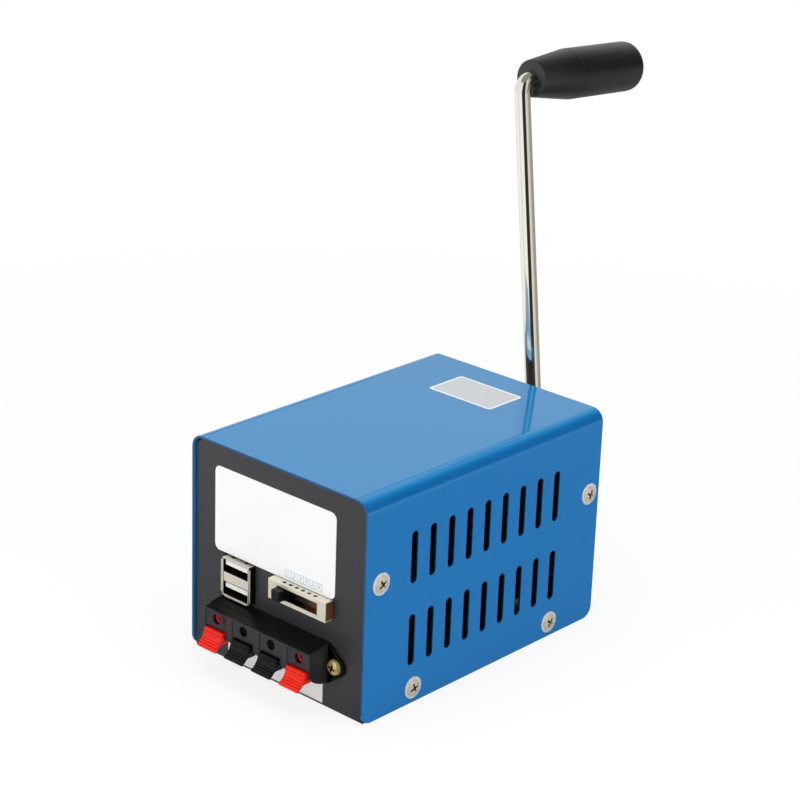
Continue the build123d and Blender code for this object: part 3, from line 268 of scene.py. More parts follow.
def nickel_plated_rod():
    """Drawn steel rod, bent, then nickel plated: mirror bright with faint draw lines along it."""
    material, tree, shader, place = new_finish("nickel_plated_rod", "#f2eee2", 0.08, 1.0)
    mottle(tree, shader, place, 9, "#eeeadd", "#f6f2e8", 0.06, 0.11)
    along_arm = {"Vector": place, "Rotation": (0, -CRANK_TURN, 0), "Scale": (1.0, 1.0, 0.03)}
    stretch = add(tree, "ShaderNodeMapping", along_arm)
    grain(tree, shader, stretch.outputs["Vector"], 0.6, 0.002, 0.05)
    return material


def moulded_grip_black():
    """Injection-moulded nylon: black, satin, with the tool's spark-eroded grain."""
    material, tree, shader, place = new_finish("moulded_grip_black", "#121213", 0.4, Specular_IOR_Level=0.72)
    mottle(tree, shader, place, 14, "#101011", "#151516", 0.36, 0.44)
    grain(tree, shader, place, 0.45, 0.03, 0.35)
    return material


def moulded_black(name, colour, lighter, roughness, gloss=0.5):
    """Moulded ABS: near black and smooth, a little greyer where the tool was polished less."""
    material, tree, shader, place = new_finish(name, colour, roughness, Specular_IOR_Level=gloss)
    mottle(tree, shader, place, 9, colour, lighter, roughness, roughness + 0.08)
    grain(tree, shader, place, 0.3, 0.015, 0.25)
    return material


def moulded_red():
    """Moulded ABS in signal red: glossy, a little uneven in tone."""
    material, tree, shader, place = new_finish("moulded_red", "#e5200c", 0.34, IOR=1.46)
    mottle(tree, shader, place, 6, "#e01d0a", "#e9240f", 0.32, 0.4)
    grain(tree, shader, place, 0.4, 0.012, 0.2)
    return material


def tin_plate():
    """Bright tin on thin steel: warm silver, cloudy where the tin flowed, with fine rolling marks."""
    material, tree, shader, place = new_finish("tin_plate", "#ece3d2", 0.32, 0.55)
    mottle(tree, shader, place, 4, "#e7ddca", "#f0e9db", 0.28, 0.38)
    stretch = add(tree, "ShaderNodeMapping", {"Vector": place, "Scale": (0.08, 1.0, 1.0)})
    grain(tree, shader, stretch.outputs["Vector"], 0.5, 0.002, 0.1)
    # the dark colour is painted shade inside the sockets
    tint_crown_paint_shade(tree, shader, "#8f8064", linear("#2b2016"))
    return material


def phenolic_board():
    """Pressed paper and resin: red-brown with cut fibres. In the switch's slot it has painted shade, with
    painted light at the slot's right end.
    """
    material, tree, shader, place = new_finish("phenolic_board", "#5a3218", 0.45, IOR=1.5)
    mottle(tree, shader, place, 2.2, "#6a3f20", "#835129", 0.42, 0.55)
    grain(tree, shader, place, 0.3, 0.006, 0.3)
    # painted shade in the switch's slot, turning to painted light towards its right end
    right = add(tree, "ShaderNodeSeparateXYZ", {0: place}).outputs["X"]
    painted_light_share = add(tree, "ShaderNodeMapRange", {0: right, 1: SWITCH_X * MM, 2: (SWITCH_X + 11) * MM}).outputs[0]
    bed = add(tree, "ShaderNodeMix", {0: painted_light_share, 6: linear("#120b07"), 7: linear("#a4672f")}, data_type="RGBA")
    tint_crown_paint_shade(tree, shader, "#3a2010", bed.outputs[2])
    return material


def moulded_nylon_white():
    """Nylon insulator: bright white, waxy, faintly see-through."""
    waxy = {"IOR": 1.53, "Subsurface_Weight": 0.2, "Subsurface_Scale": 0.0015}
    material, tree, shader, place = new_finish("moulded_nylon_white", "#f3f2ec", 0.4, **waxy)
    mottle(tree, shader, place, 4, "#efeee7", "#f7f6f2", 0.38, 0.46)
    grain(tree, shader, place, 0.4, 0.01, 0.2)
    # the near-black colour is painted shade deep in the ports
    tint_crown_paint_shade(tree, shader, "#8a8880", linear("#0f0d0b"))
    return material


def vinyl_white():
    """Self-adhesive vinyl: white with a satin laminate that lies not quite flat."""
    material, tree, shader, place = new_finish("vinyl_white", "#f5f7f6", 0.35, IOR=1.46)
    mottle(tree, shader, place, 20, "#f2f4f3", "#f8faf9", 0.32, 0.4)
    grain(tree, shader, place, 7, 0.03, 0.3)
    return material


def film_sticker():
    """Metallised polyester film on the enamel: light silver-grey and glossy."""
    material, tree, shader, place = new_finish("film_sticker", "#c0c3c6", 0.2, IOR=1.5)
    mottle(tree, shader, place, 12, "#b9bcbf", "#bfc2c5", 0.16, 0.24)
    grain(tree, shader, place, 5, 0.02, 0.3)
    return material


def printed_ink(name, colour):
    """Screen-printed ink: thin, matt, a little uneven."""
    material, tree, shader, place = new_finish(name, colour, 0.6)
    mottle(tree, shader, place, 0.8, colour, colour, 0.55, 0.7)
    return material


def bare_metal(name, dark, light, rough_low, rough_high, size_mm=3.0):
    """Machined, cast or rolled metal inside the box, cloudy with oil and handling."""
    material, tree, shader, place = new_finish(name, dark, rough_low, 1.0)
    mottle(tree, shader, place, size_mm, dark, light, rough_low, rough_high)
    grain(tree, shader, place, 0.4, 0.02, 0.3)
    return material


def plain_moulding(name, dark, light, roughness, size_mm=5.0):
    """Resin, ferrite, solder mask or insulation inside the box."""
    material, tree, shader, place = new_finish(name, dark, roughness)
    mottle(tree, shader, place, size_mm, dark, light, roughness, roughness + 0.1)
    grain(tree, shader, place, 0.4, 0.02, 0.3)
    return material


def make_finishes():
    """One finish for each material slot of the record."""
    return {
        "cover_paint": stove_enamel_blue(),
        "chassis_paint": powder_coat_black(),
        "screw_black": bare_metal("blackened_steel", "#2a2a2b", "#3a3a3b", 0.4, 0.5),
        "zinc_steel": zinc_plated_steel(),
        "gear_steel": bare_metal("machined_steel", "#8f9092", "#a9aaac", 0.3, 0.42),
        "crank_chrome": nickel_plated_rod(),
        "grip_plastic": moulded_grip_black(),
        "bronze": bare_metal("sintered_bronze", "#a8804a", "#bd9660", 0.35, 0.5),
        "brass": brass_plated_steel(),
        "label_white": vinyl_white(),
        "label_top": film_sticker(),
        "tin_plate": tin_plate(),
        "usb_white": moulded_nylon_white(),
        "contact_gold": bare_metal("gold_flash", "#c9a24c", "#dcbc6c", 0.2, 0.3),
        "switch_phenolic": phenolic_board(),
        "switch_black": moulded_black("moulded_switch_black", "#0a0a0b", "#0f0f10", 0.34, 0.25),
        "terminal_black": moulded_black("moulded_terminal_black", "#242427", "#2a2a2e", 0.34),
        "lever_red": moulded_red(),
        "lever_black": moulded_black("moulded_lever_black", "#08080a", "#0c0c0e", 0.36, 0.3),
        "board_green": plain_moulding("solder_mask_green", "#1d4a2c", "#245835", 0.35),
        "capacitor_black": plain_moulding("shrink_sleeve_black", "#1b1b26", "#242432", 0.3),
        "choke_ferrite": plain_moulding("enamelled_copper_wire", "#8a4a22", "#a55f30", 0.35, 1.0),
        "aluminium": plain_moulding("black_anodised_aluminium", "#141415", "#1c1c1e", 0.5),
        "magnet": plain_moulding("ferrite_magnet", "#26262a", "#303035", 0.55),
        "laminated_core": bare_metal("laminated_steel", "#5d5a57", "#75716d", 0.4, 0.55, 0.8),
        "copper": bare_metal("copper_segments", "#b06a42", "#c98458", 0.25, 0.4),
        "wire_red": plain_moulding("insulation_red", "#a01d16", "#b52a20", 0.45),
        "wire_black": plain_moulding("insulation_black", "#161616", "#202020", 0.45),
    }


# ================= making pieces =================


def as_piece(name, mesh, body, slot, replaces=()):
    """Puts a finished mesh in the scene on its CAD body, with its slot's finish."""
    mesh.name = name
    piece = bpy.data.objects.new(name, mesh)
    bpy.context.scene.collection.objects.link(piece)
    mesh.materials.clear()
    mesh.materials.append(finishes[slot])
    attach(piece, body)
    if replaces:
        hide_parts(*replaces)
    return piece


def soften(mesh, angle):
    """Smooth shading, with edges sharper than the angle kept crisp."""
    mesh.shade_smooth()
    mesh.set_sharp_from_angle(angle=radians(angle))


def settled(shell, name):
    """The mesh of a bmesh, which is freed."""
    mesh = bpy.data.meshes.new(name)
    shell.to_mesh(mesh)
    shell.free()
    return mesh


def plain_mesh(working):
    """The evaluated object as a mesh of its own. The working object is removed."""
    bpy.context.view_layer.update()
    evaluated = working.evaluated_get(bpy.context.evaluated_depsgraph_get())
    mesh = bpy.data.meshes.new_from_object(evaluated)
    bpy.data.objects.remove(working)
    return mesh


def rounded_copy(node, round_mm, segments=2, limit=35, sharp=40, punch=None):
    """A CAD node's mesh with its triangles joined and its edges broken, as pressed and moulded edges are."""
    shell = bmesh.new()
    shell.from_mesh(frame["nodes"][node].data)
    bmesh.ops.remove_doubles(shell, verts=shell.verts[:], dist=2e-6)
    bmesh.ops.dissolve_limit(
        shell,
        angle_limit=radians(0.5),
        use_dissolve_boundaries=False,
        verts=shell.verts[:],
        edges=shell.edges[:],
    )
    mesh = settled(shell, node)
    for layer in [a.name for a in mesh.attributes if a.name == "custom_normal"]:
        mesh.attributes.remove(mesh.attributes[layer])
    mesh.shade_smooth()
    working = working_object(node, mesh)
    if punch:
        struck_out(working, punch)
    bevel = working.modifiers.new("edges", "BEVEL")
    bevel.width = round_mm * MM
    bevel.segments = segments
    bevel.limit_method = "ANGLE"
    bevel.angle_limit = radians(limit)
    bevel.use_clamp_overlap = False
    working.modifiers.new("flats", "WEIGHTED_NORMAL").keep_sharp = True
    result = plain_mesh(working)
    result.set_sharp_from_angle(angle=radians(sharp))
    return result


def revolved(profile, segments=40):
    """A lathe-turned mesh about +Z from (radius, height) points in millimetres."""
    shell = bmesh.new()
    rings = []
    turns = [2 * pi * k / segments for k in range(segments)]
    for radius, height in profile:
        if radius == 0:
            rings.append([shell.verts.new((0, 0, height * MM))])
            continue
        ring = [(radius * cos(a) * MM, radius * sin(a) * MM, height * MM) for a in turns]
        rings.append([shell.verts.new(point) for point in ring])
    for low, high in zip(rings, rings[1:]):
        for k in range(segments):
            nxt = (k + 1) % segments
            if len(low) == 1:
                shell.faces.new((low[0], high[k], high[nxt]))
            elif len(high) == 1:
                shell.faces.new((low[k], low[nxt], high[0]))
            else:
                shell.faces.new((low[k], low[nxt], high[nxt], high[k]))
    bmesh.ops.remove_doubles(shell, verts=shell.verts[:], dist=1e-6)
    bmesh.ops.recalc_face_normals(shell, faces=shell.faces[:])
    return settled(shell, "turned")


def turned_along(profile, start, direction, segments=56):
    """A lathe-turned mesh whose axis leaves a point (mm) in a direction, from (radius, station) in mm."""
    mesh = revolved(profile, segments)
    aim = Vector((0, 0, 1)).rotation_difference(Vector(direction)).to_matrix().to_4x4()
    mesh.transform(Matrix.Translation(Vector(start) * MM) @ aim)
    soften(mesh, 30)
    return mesh


def extruded(outlines, height):
    """Upright prisms on closed (x, y) outlines in metres, from z = 0 to a height, as one mesh."""
    shell = bmesh.new()
    for outline in outlines:
        low = [shell.verts.new((x, y, 0)) for x, y in outline]
        high = [shell.verts.new((x, y, height)) for x, y in outline]
        shell.faces.new(low[::-1])
        shell.faces.new(high)
        for k in range(len(outline)):
            nxt = (k + 1) % len(outline)
            shell.faces.new((low[k], low[nxt], high[nxt], high[k]))
    bmesh.ops.recalc_face_normals(shell, faces=shell.faces[:])
    return settled(shell, "prisms")


def lying_along_x(start):
    """Turns prisms drawn on (y, z) outlines so that they run along +X from a station in millimetres."""
    return Matrix(((0, 0, 1, start * MM), (1, 0, 0, 0), (0, 1, 0, 0), (0, 0, 0, 1)))


def rounded_rectangle(x, y, width, height, corner, steps=8):
    """Points of a rectangle with round corners about (x, y), in millimetres, given back in metres."""
    points = []
    for number, (sx, sy) in enumerate(((1, 1), (-1, 1), (-1, -1), (1, -1))):
        for k in range(steps + 1):
            angle = (number + k / steps) * pi / 2
            points.append((MM * (x + sx * (width / 2 - corner) + corner * cos(angle)),
                           MM * (y + sy * (height / 2 - corner) + corner * sin(angle))))
    return points


def cross_cutter(arm, width, depth, top):
    """The punch of a cross recess: a plus-shaped outline that narrows towards its foot, in millimetres."""
    cutter = bmesh.new()
    rings = []
    for height, scale in ((top + 0.5, 1.05), (top - depth, 0.55)):
        reach, half = arm * scale, width / 2 * (scale + 1) / 2
        corner = [Vector((reach, -half, height)), Vector((reach, half, height)), Vector((half, half, height))]
        turns = [Matrix.Rotation(k * pi / 2, 3, "Z") for k in range(4)]
        rings.append([cutter.verts.new(turn @ point * MM) for turn in turns for point in corner])
    cutter.faces.new(rings[0])
    cutter.faces.new(rings[1][::-1])
    for k in range(12):
        nxt = (k + 1) % 12
        cutter.faces.new((rings[0][k], rings[1][k], rings[1][nxt], rings[0][nxt]))
    bmesh.ops.recalc_face_normals(cutter, faces=cutter.faces[:])
    return settled(cutter, "punch")


def struck_out(target, punch):
    """Adds to a working object the cut that a punch makes."""
    cut = target.modifiers.new("punched", "BOOLEAN")
    cut.operation = "DIFFERENCE"
    cut.solver = "EXACT"
    cut.object = punch


def working_object(name, mesh):
    """An object in the scene for a mesh or a curve."""
    thing = bpy.data.objects.new(name, mesh)
    bpy.context.scene.collection.objects.link(thing)
    return thing


def cross_head_screw(profile, crown_r, arm, width, depth):
    """A screw head turned from its profile, with a cross recess struck into its crown."""
    top = max(height for radius, height in profile)
    head = working_object("head", revolved(profile))
    punch = working_object("punch", cross_cutter(arm, width, depth, top))
    struck_out(head, punch)
    mesh = plain_mesh(head)
    bpy.data.objects.remove(punch)
    soften(mesh, 32)
    # faces in the cross recess get painted shade, crown faces a warmer tint
    shades = []
    for face in mesh.polygons:
        radius, height = face.center.xy.length / MM, face.center.z / MM
        in_reach = radius < arm * 1.05 and top - depth - 0.01 < height
        sunk = in_reach and (face.normal.z < 0.6 or height < top - 0.5)
        shades.append(1.0 if sunk and height > 0 else 0.5 if radius < crown_r and height > 0 else 0.0)
    mesh.attributes.new("crown_and_painted_shade", "FLOAT", "FACE").data.foreach_set("value", shades)
    return mesh


def fastener_tree():
    """Geometry nodes that set one fastener on each point, facing along the point's own direction."""
    tree = bpy.data.node_groups.new("fasteners_on_points", "GeometryNodeTree")
    for name, kind in (("Points", "NodeSocketGeometry"), ("Fastener", "NodeSocketObject"),
                       ("Size", "NodeSocketFloat"), ("Finish", "NodeSocketMaterial")):
        tree.interface.new_socket(name=name, in_out="INPUT", socket_type=kind)
    tree.interface.new_socket(name="Geometry", in_out="OUTPUT", socket_type="NodeSocketGeometry")
    given = add(tree, "NodeGroupInput").outputs
    facing = add(tree, "GeometryNodeInputNamedAttribute", {"Name": "facing"}, data_type="FLOAT_VECTOR")
    turn = add(tree, "GeometryNodeInputNamedAttribute", {"Name": "turn"}, data_type="FLOAT")
    aim = add(tree, "FunctionNodeAlignRotationToVector", {"Vector": facing.outputs[0]}, axis="Z")
    spin = add(tree, "FunctionNodeAxisAngleToRotation", {"Axis": (0, 0, 1), "Angle": turn.outputs[0]})
    turns = {0: aim.outputs[0], 1: spin.outputs[0]}
    both = add(tree, "FunctionNodeRotateRotation", turns, rotation_space="LOCAL")
    shape = add(tree, "GeometryNodeObjectInfo", {"Object": given["Fastener"]})
    inputs = {"Points": given["Points"], "Instance": shape.outputs["Geometry"], "Rotation": both.outputs[0],
              "Scale": given["Size"]}
    placed = add(tree, "GeometryNodeInstanceOnPoints", inputs)
    real = add(tree, "GeometryNodeRealizeInstances", {0: placed.outputs[0]})
    coated = add(tree, "GeometryNodeSetMaterial", {"Geometry": real.outputs[0], "Material": given["Finish"]})
    add(tree, "NodeGroupOutput", {0: coated.outputs[0]})
    return tree


def fasten(tree, name, fastener, spots, body, slot, replaces=()):
    """Sets a fastener at each (place in mm, facing, turn in degrees) and gives the whole set as one piece."""
    template = working_object("fastener", fastener)
    points = bpy.data.meshes.new("points")
    points.from_pydata([[c * MM for c in place] for place, facing, turn in spots], [], [])
    facings = points.attributes.new("facing", "FLOAT_VECTOR", "POINT")
    facings.data.foreach_set("vector", [c for place, facing, turn in spots for c in facing])
    turns = points.attributes.new("turn", "FLOAT", "POINT")
    turns.data.foreach_set("value", [radians(turn) for place, facing, turn in spots])
    working = working_object("points", points)
    modifier = working.modifiers.new("fasteners", "NODES")
    modifier.node_group = tree
    sockets = {s.name: s.identifier for s in tree.interface.items_tree if s.in_out == "INPUT"}
    modifier[sockets["Fastener"]] = template
    modifier[sockets["Size"]] = 1.0
    modifier[sockets["Finish"]] = finishes[slot]
    mesh = plain_mesh(working)
    bpy.data.objects.remove(template)
    return as_piece(name, mesh, body, slot, replaces)


# ================= the object's pieces =================


def slot_punch():
    """Eighteen bars with round edges, which run right through both sides of the cover."""
    spots = [(SLOT_MID[0] + (k - (SLOT_COUNT - 1) / 2) * SLOT_PITCH, SLOT_MID[1] + row * SLOT_ROW_PITCH / 2)
             for k in range(SLOT_COUNT) for row in (-1, 1)]
    wide, tall, through = SLOT_W + 0.02, SLOT_H + 0.02, 100
    outlines = [rounded_rectangle(y, z, wide, tall, wide / 2 - 0.001) for y, z in spots]
    mesh = extruded(outlines, through * MM)
    mesh.transform(lying_along_x(-through / 2))
    return working_object("slot_punch", mesh)


def is_among_slots(y, z):
    """Whether a place on the cover's side, in millimetres, lies in the field of vent slots."""
    half_run, half_rise = SLOT_COUNT * SLOT_PITCH / 2 + 2, (SLOT_ROW_PITCH + SLOT_H) / 2 + 2
    return abs(y) < half_run and abs(z - SLOT_MID[1]) < half_rise


def dress_sheet_metal():
    """Cover and chassis keep their solids' shape, with sheared edges broken and painted over, and painted
    shade on the cover's cut edges and slot walls.
    """
    punch = slot_punch()
    sheet = rounded_copy("cover", 0.22, 3, punch=punch)
    cover = as_piece("cover_sheet", sheet, "housing", "cover_paint", ["cover"])
    bpy.data.objects.remove(punch)
    cover.data.materials.append(enamel_painted_edge_shade("enamel_painted_edge_shade", "#093866", "#0e4780"))
    cover.data.materials.append(enamel_painted_edge_shade("enamel_painted_slot_shade", "#032740", "#042f4e"))
    for face in cover.data.polygons:
        x, y, z = (abs(c) for c in face.center / MM)
        # painted shade on the sheet's front and back edges
        if abs(face.normal.y) > 0.9 and y > COVER_HALF_D - 0.1:
            face.material_index = 1
        # painted shade on the walls of the vent slots
        elif x > COVER_HALF_W - 1.5 and abs(face.normal.x) < 0.9 and is_among_slots(y, z):
            face.material_index = 2
    as_piece("chassis_sheet", rounded_copy("chassis", 0.2, 2), "housing", "chassis_paint", ["chassis"])


def dress_screws():
    """Cover screws with a washer face, the crank-side screws, and the terminal's brass screws."""
    tree = fastener_tree()
    washer_profile = [(0, -4.4), (1.9, -4.4), (1.9, 0.0), (4.05, 0.0), (4.15, 0.06), (4.15, 0.3),
                      (4.05, 0.36), (3.2, 0.38), (3.1, 0.6), (2.8, 0.85), (2.3, 1.0), (1.6, 1.1), (0.8, 1.14),
                      (0, 1.14)]
    washer_head = cross_head_screw(washer_profile, crown_r=3.3, arm=2.3, width=0.85, depth=0.9)
    spots = []
    for number, (y, z) in enumerate(SIDE_SCREWS):
        for side in (-1, 1):
            spots.append(((side * COVER_HALF_W, y, z), (side, 0, 0), 20 + 37 * number + 13 * side))
    fasten(tree, "cover_screw_set", washer_head, spots, "housing", "zinc_steel", ["cover_screws"])
    pan_profile = [(0, -6.0), (1.5, -6.0), (1.5, 0.0), (2.75, 0.0), (2.9, 0.15), (2.85, 0.7), (2.6, 1.25),
                   (2.1, 1.65), (1.2, 1.86), (0, 1.9)]
    pan_head = cross_head_screw(pan_profile, crown_r=2.95, arm=1.9, width=0.75, depth=1.2)
    rear = [((x, REAR_Y, z), (0, 1, 0), 25 + 31 * k) for k, (x, z) in enumerate(PILLARS)]
    front = [((x, GEARBOX_FRONT_Y, z), (0, -1, 0), 10 + 47 * k) for k, (x, z) in enumerate(PILLARS)]
    fasten(tree, "gearbox_screw_set", pan_head, rear + front, "housing", "zinc_steel", ["gearbox_screws"])
    brass = [((x, FLANGE_Y, z), (0, -1, 0), 40 + 35 * k) for k, (x, z) in enumerate(TERMINAL_SCREWS)]
    fasten(tree, "terminal_screw_set", pan_head.copy(), brass, "housing", "brass", ["terminal_screws"])


def paint_shade_where(piece, gets_painted_shade):
    """Gives the faces that pass a test the finish's painted shade, as inside a socket."""
    marks = piece.data.attributes.new("crown_and_painted_shade", "FLOAT", "FACE")
    shades = [float(gets_painted_shade(face.center / MM, face.normal)) for face in piece.data.polygons]
    marks.data.foreach_set("value", shades)


def dress_sockets():
    """The tinned socket shell with painted shade inside, and the white tongues that show in its two ports."""
    behind_lips, half_w, half_h = USB_FRONT_Y + 0.9, USB_W / 2 - 0.3, USB_H / 2 - 0.3

    # painted shade inside the ports and on the shell's outer side walls
    def in_shadow(centre, normal):
        within = abs(centre.x - USB_X) < half_w and abs(centre.z - USB_Z) < half_h
        return centre.y > behind_lips and (within or abs(normal.x) > 0.7)

    tin = rounded_copy("usb_shell", 0.08, 2)
    shell = as_piece("socket_shell", tin, "housing", "tin_plate", ["usb_shell"])
    paint_shade_where(shell, in_shadow)
    wall = rounded_copy("usb_divider", 0.08, 2)
    divider = as_piece("socket_divider", wall, "housing", "tin_plate", ["usb_divider"])
    # painted shade on the divider's top and bottom faces
    paint_shade_where(divider, lambda centre, normal: abs(normal.z) > 0.7)
    blades = rounded_copy("usb_insulators", 0.12, 2)
    tongues = as_piece("socket_tongues", blades, "housing", "usb_white", ["usb_insulators"])
    # painted shade on the tongues' deep back and their undersides
    paint_shade_where(tongues, lambda centre, normal: centre.y > USB_FRONT_Y + 8 or normal.z < -0.7)


def dress_switch():
    """The tinned frame with its notches, the brown base behind it and the black knob."""
    wide, deep, tall, corner = 1.7, 1.4, 3.0, 0.3
    spots = [(SWITCH_X + (k - (SWITCH_STEPS - 1) / 2) * SWITCH_STEP, NOTCH_Y) for k in range(SWITCH_STEPS)]
    cuts = extruded([rounded_rectangle(x, y, wide, deep, corner, 2) for x, y in spots], tall * MM)
    cuts.transform(Matrix.Translation((0, 0, (SWITCH_TOP_Z - tall / 2) * MM)))
    punch = working_object("notch_punch", cuts)
    plate = rounded_copy("switch_frame", 0.08, 2, punch=punch)
    as_piece("switch_plate", plate, "housing", "tin_plate", ["switch_frame"])
    bpy.data.objects.remove(punch)
    board = rounded_copy("switch_base", 0.05, 1)
    bed = as_piece("switch_bed", board, "housing", "switch_phenolic", ["switch_base"])
    half = SWITCH_W / 2 - 0.5
    # painted shade and painted light on the base inside the switch's slot
    paint_shade_where(bed, lambda centre, normal: abs(centre.x - SWITCH_X) < half and normal.x > -0.9)
    knob = rounded_copy("switch_slider", 0.1, 2)
    as_piece("switch_knob", knob, "slider", "switch_black", ["switch_slider"])


def dress_wire_holes():
    """A moulded bush in each wire hole, coloured as its lever."""
    profile = [(1.87, 1.9), (1.87, 2.7), (1.2, 2.7), (1.2, 2.2), (1.5, 1.9), (1.87, 1.9)]
    for number, slot in enumerate(LEVER_SLOTS, 1):
        start = ((number - 2.5) * WIRE_PITCH, TERMINAL_FRONT_Y, WIRE_Z)
        as_piece(f"wire_bush_{number}", turned_along(profile, start, (0, 1, 0), 32), "housing", slot)


def pad_ridges():
    """Round ridges across a lever's thumb pad, laid along the arc of the pad."""
    (y1, z1), (y2, z2), (y3, z3) = PAD_TOP, PAD_MID, PAD_LIP
    first, run, sides = 0.09, 0.8, 12
    outlines = []
    for k in range(RIDGES):
        t = first + run * k / (RIDGES - 1)
        from_top, from_mid, from_lip = (1 - t) * (1 - 2 * t), 4 * t * (1 - t), t * (2 * t - 1)
        y = from_top * y1 + from_mid * y2 + from_lip * y3
        z = from_top * z1 + from_mid * z2 + from_lip * z3
        turns = [pi * n / (sides / 2) for n in range(sides)]
        outlines.append([(MM * (y + RIDGE_R * cos(a)), MM * (z + RIDGE_R * sin(a))) for a in turns])
    return outlines


def dress_terminal():
    """The black moulding, its four push levers with ribbed thumb pads, and the bushes of the wire holes."""
    block = rounded_copy("terminal_body", 0.18, 2)
    body = as_piece("terminal_moulding", block, "housing", "terminal_black", ["terminal_body"])
    # painted shade: a darker flange for the shadow round the terminal's end, and a darker top than front
    body.data.materials.append(moulded_black("moulded_black_painted_flange_shade", "#0b0b0c", "#0f0f10", 0.55, 0.15))
    body.data.materials.append(moulded_black("moulded_black_painted_top_shade", "#0a0a0b", "#0d0d0e", 0.3, 0.24))
    for face in body.data.polygons:
        if face.center.y > (FLANGE_Y - 0.2) * MM:
            face.material_index = 1
        elif face.normal.z > 0.7:
            face.material_index = 2
    for number, slot in enumerate(LEVER_SLOTS, 1):
        lever = rounded_copy(f"terminal_lever_{number}", 0.15, 2)
        as_piece(f"push_lever_{number}", lever, f"lever_{number}", slot, [f"terminal_lever_{number}"])
        ridges = extruded(pad_ridges(), (LEVER_W - 0.3) * MM)
        left = (number - 2.5) * WIRE_PITCH - LEVER_W / 2 + 0.15
        ridges.transform(lying_along_x(left))
        soften(ridges, 45)
        as_piece(f"pad_ridges_{number}", ridges, f"lever_{number}", slot)
    dress_wire_holes()


def dress_motor():
    """The drawn shell of the motor, seen through the slots."""
    bore, rim, inside, mouth, face = 1.65, MOTOR_R, MOTOR_R - 1.5, -18.0, GEARBOX_FRONT_Y
    shell = [(bore, face), (rim - 1.0, face), (rim - 0.3, face - 0.3), (rim, face - 1.0), (rim, mouth + 0.4),
             (rim - 0.2, mouth), (inside, mouth), (inside, face - 1.5), (bore, face - 1.5), (bore, face)]
    boss = [(bore, 28.6), (4.9, 28.6), (4.9, 32.2), (4.7, 32.4), (bore, 32.4), (bore, 28.6)]
    for name, profile, replaced in (("motor_shell", shell, ["motor_can"]), ("motor_boss", boss, ())):
        turned = turned_along(profile, (0, 0, MOTOR_Z), (0, 1, 0))
        as_piece(name, turned, "housing", "screw_black", replaced)


def dress_sticker():
    """A pale rim on the sticker on top, a painted highlight along its edge."""
    (wide, deep), rim_w = STICKER_SIZE, STICKER_RIM
    outer = rounded_rectangle(*STICKER_MID, wide, deep, 1.3)
    inner = rounded_rectangle(*STICKER_MID, wide - 2 * rim_w, deep - 2 * rim_w, 0.6)
    shell = bmesh.new()
    rings = [[shell.verts.new((x, y, height * MM)) for x, y in line]
             for height in (STICKER_TOP, STICKER_TOP + 0.05) for line in (outer, inner)]
    for k in range(len(outer)):
        nxt = (k + 1) % len(outer)
        for one, other in ((0, 1), (2, 3), (0, 2), (1, 3)):
            shell.faces.new((rings[one][k], rings[one][nxt], rings[other][nxt], rings[other][k]))
    bmesh.ops.recalc_face_normals(shell, faces=shell.faces[:])
    rim = as_piece("sticker_rim", settled(shell, "rim"), "housing", "label_top")
    # the pale rim is a painted highlight along the sticker's edge
    rim.data.materials[0] = printed_ink("pale_rim_painted_highlight", "#dde6ee")


def dress_scale():
    """Ruled boxes printed above the switch, numbered by its steps."""
    low, high, line, corner = SCALE_LOW, SCALE_HIGH, SCALE_LINE, 0.02
    run, middle = SWITCH_STEPS * SWITCH_STEP, (low + high) / 2
    left = SWITCH_X - run / 2
    bars = [rounded_rectangle(SWITCH_X, z, run + line, line, corner, 1) for z in (low, high)]
    bars += [rounded_rectangle(left + k * SWITCH_STEP, middle, line, high - low, corner, 1)
             for k in range(SWITCH_STEPS + 1)]
    shell = bmesh.new()
    shell.from_mesh(extruded(bars, INK_T * MM))
    for k in range(SWITCH_STEPS):
        curve = bpy.data.curves.new("digit", "FONT")
        curve.body, curve.size, curve.extrude = str(k + 1), DIGIT_H * MM, INK_T / 2 * MM
        curve.align_x, curve.align_y = "CENTER", "CENTER"
        digit = plain_mesh(working_object("digit", curve))
        spot = Vector((left + (k + 0.5) * SWITCH_STEP, middle, INK_T / 2))
        digit.transform(Matrix.Translation(spot * MM))
        shell.from_mesh(digit)
    mesh = settled(shell, "scale")
    upright = Matrix(((1, 0, 0, 0), (0, 0, -1, LABEL_Y * MM), (0, 1, 0, 0), (0, 0, 0, 1)))
    mesh.transform(upright)
    scale = as_piece("switch_scale", mesh, "housing", "label_white")
    scale.data.materials[0] = printed_ink("pale_blue_ink", "#86bede")


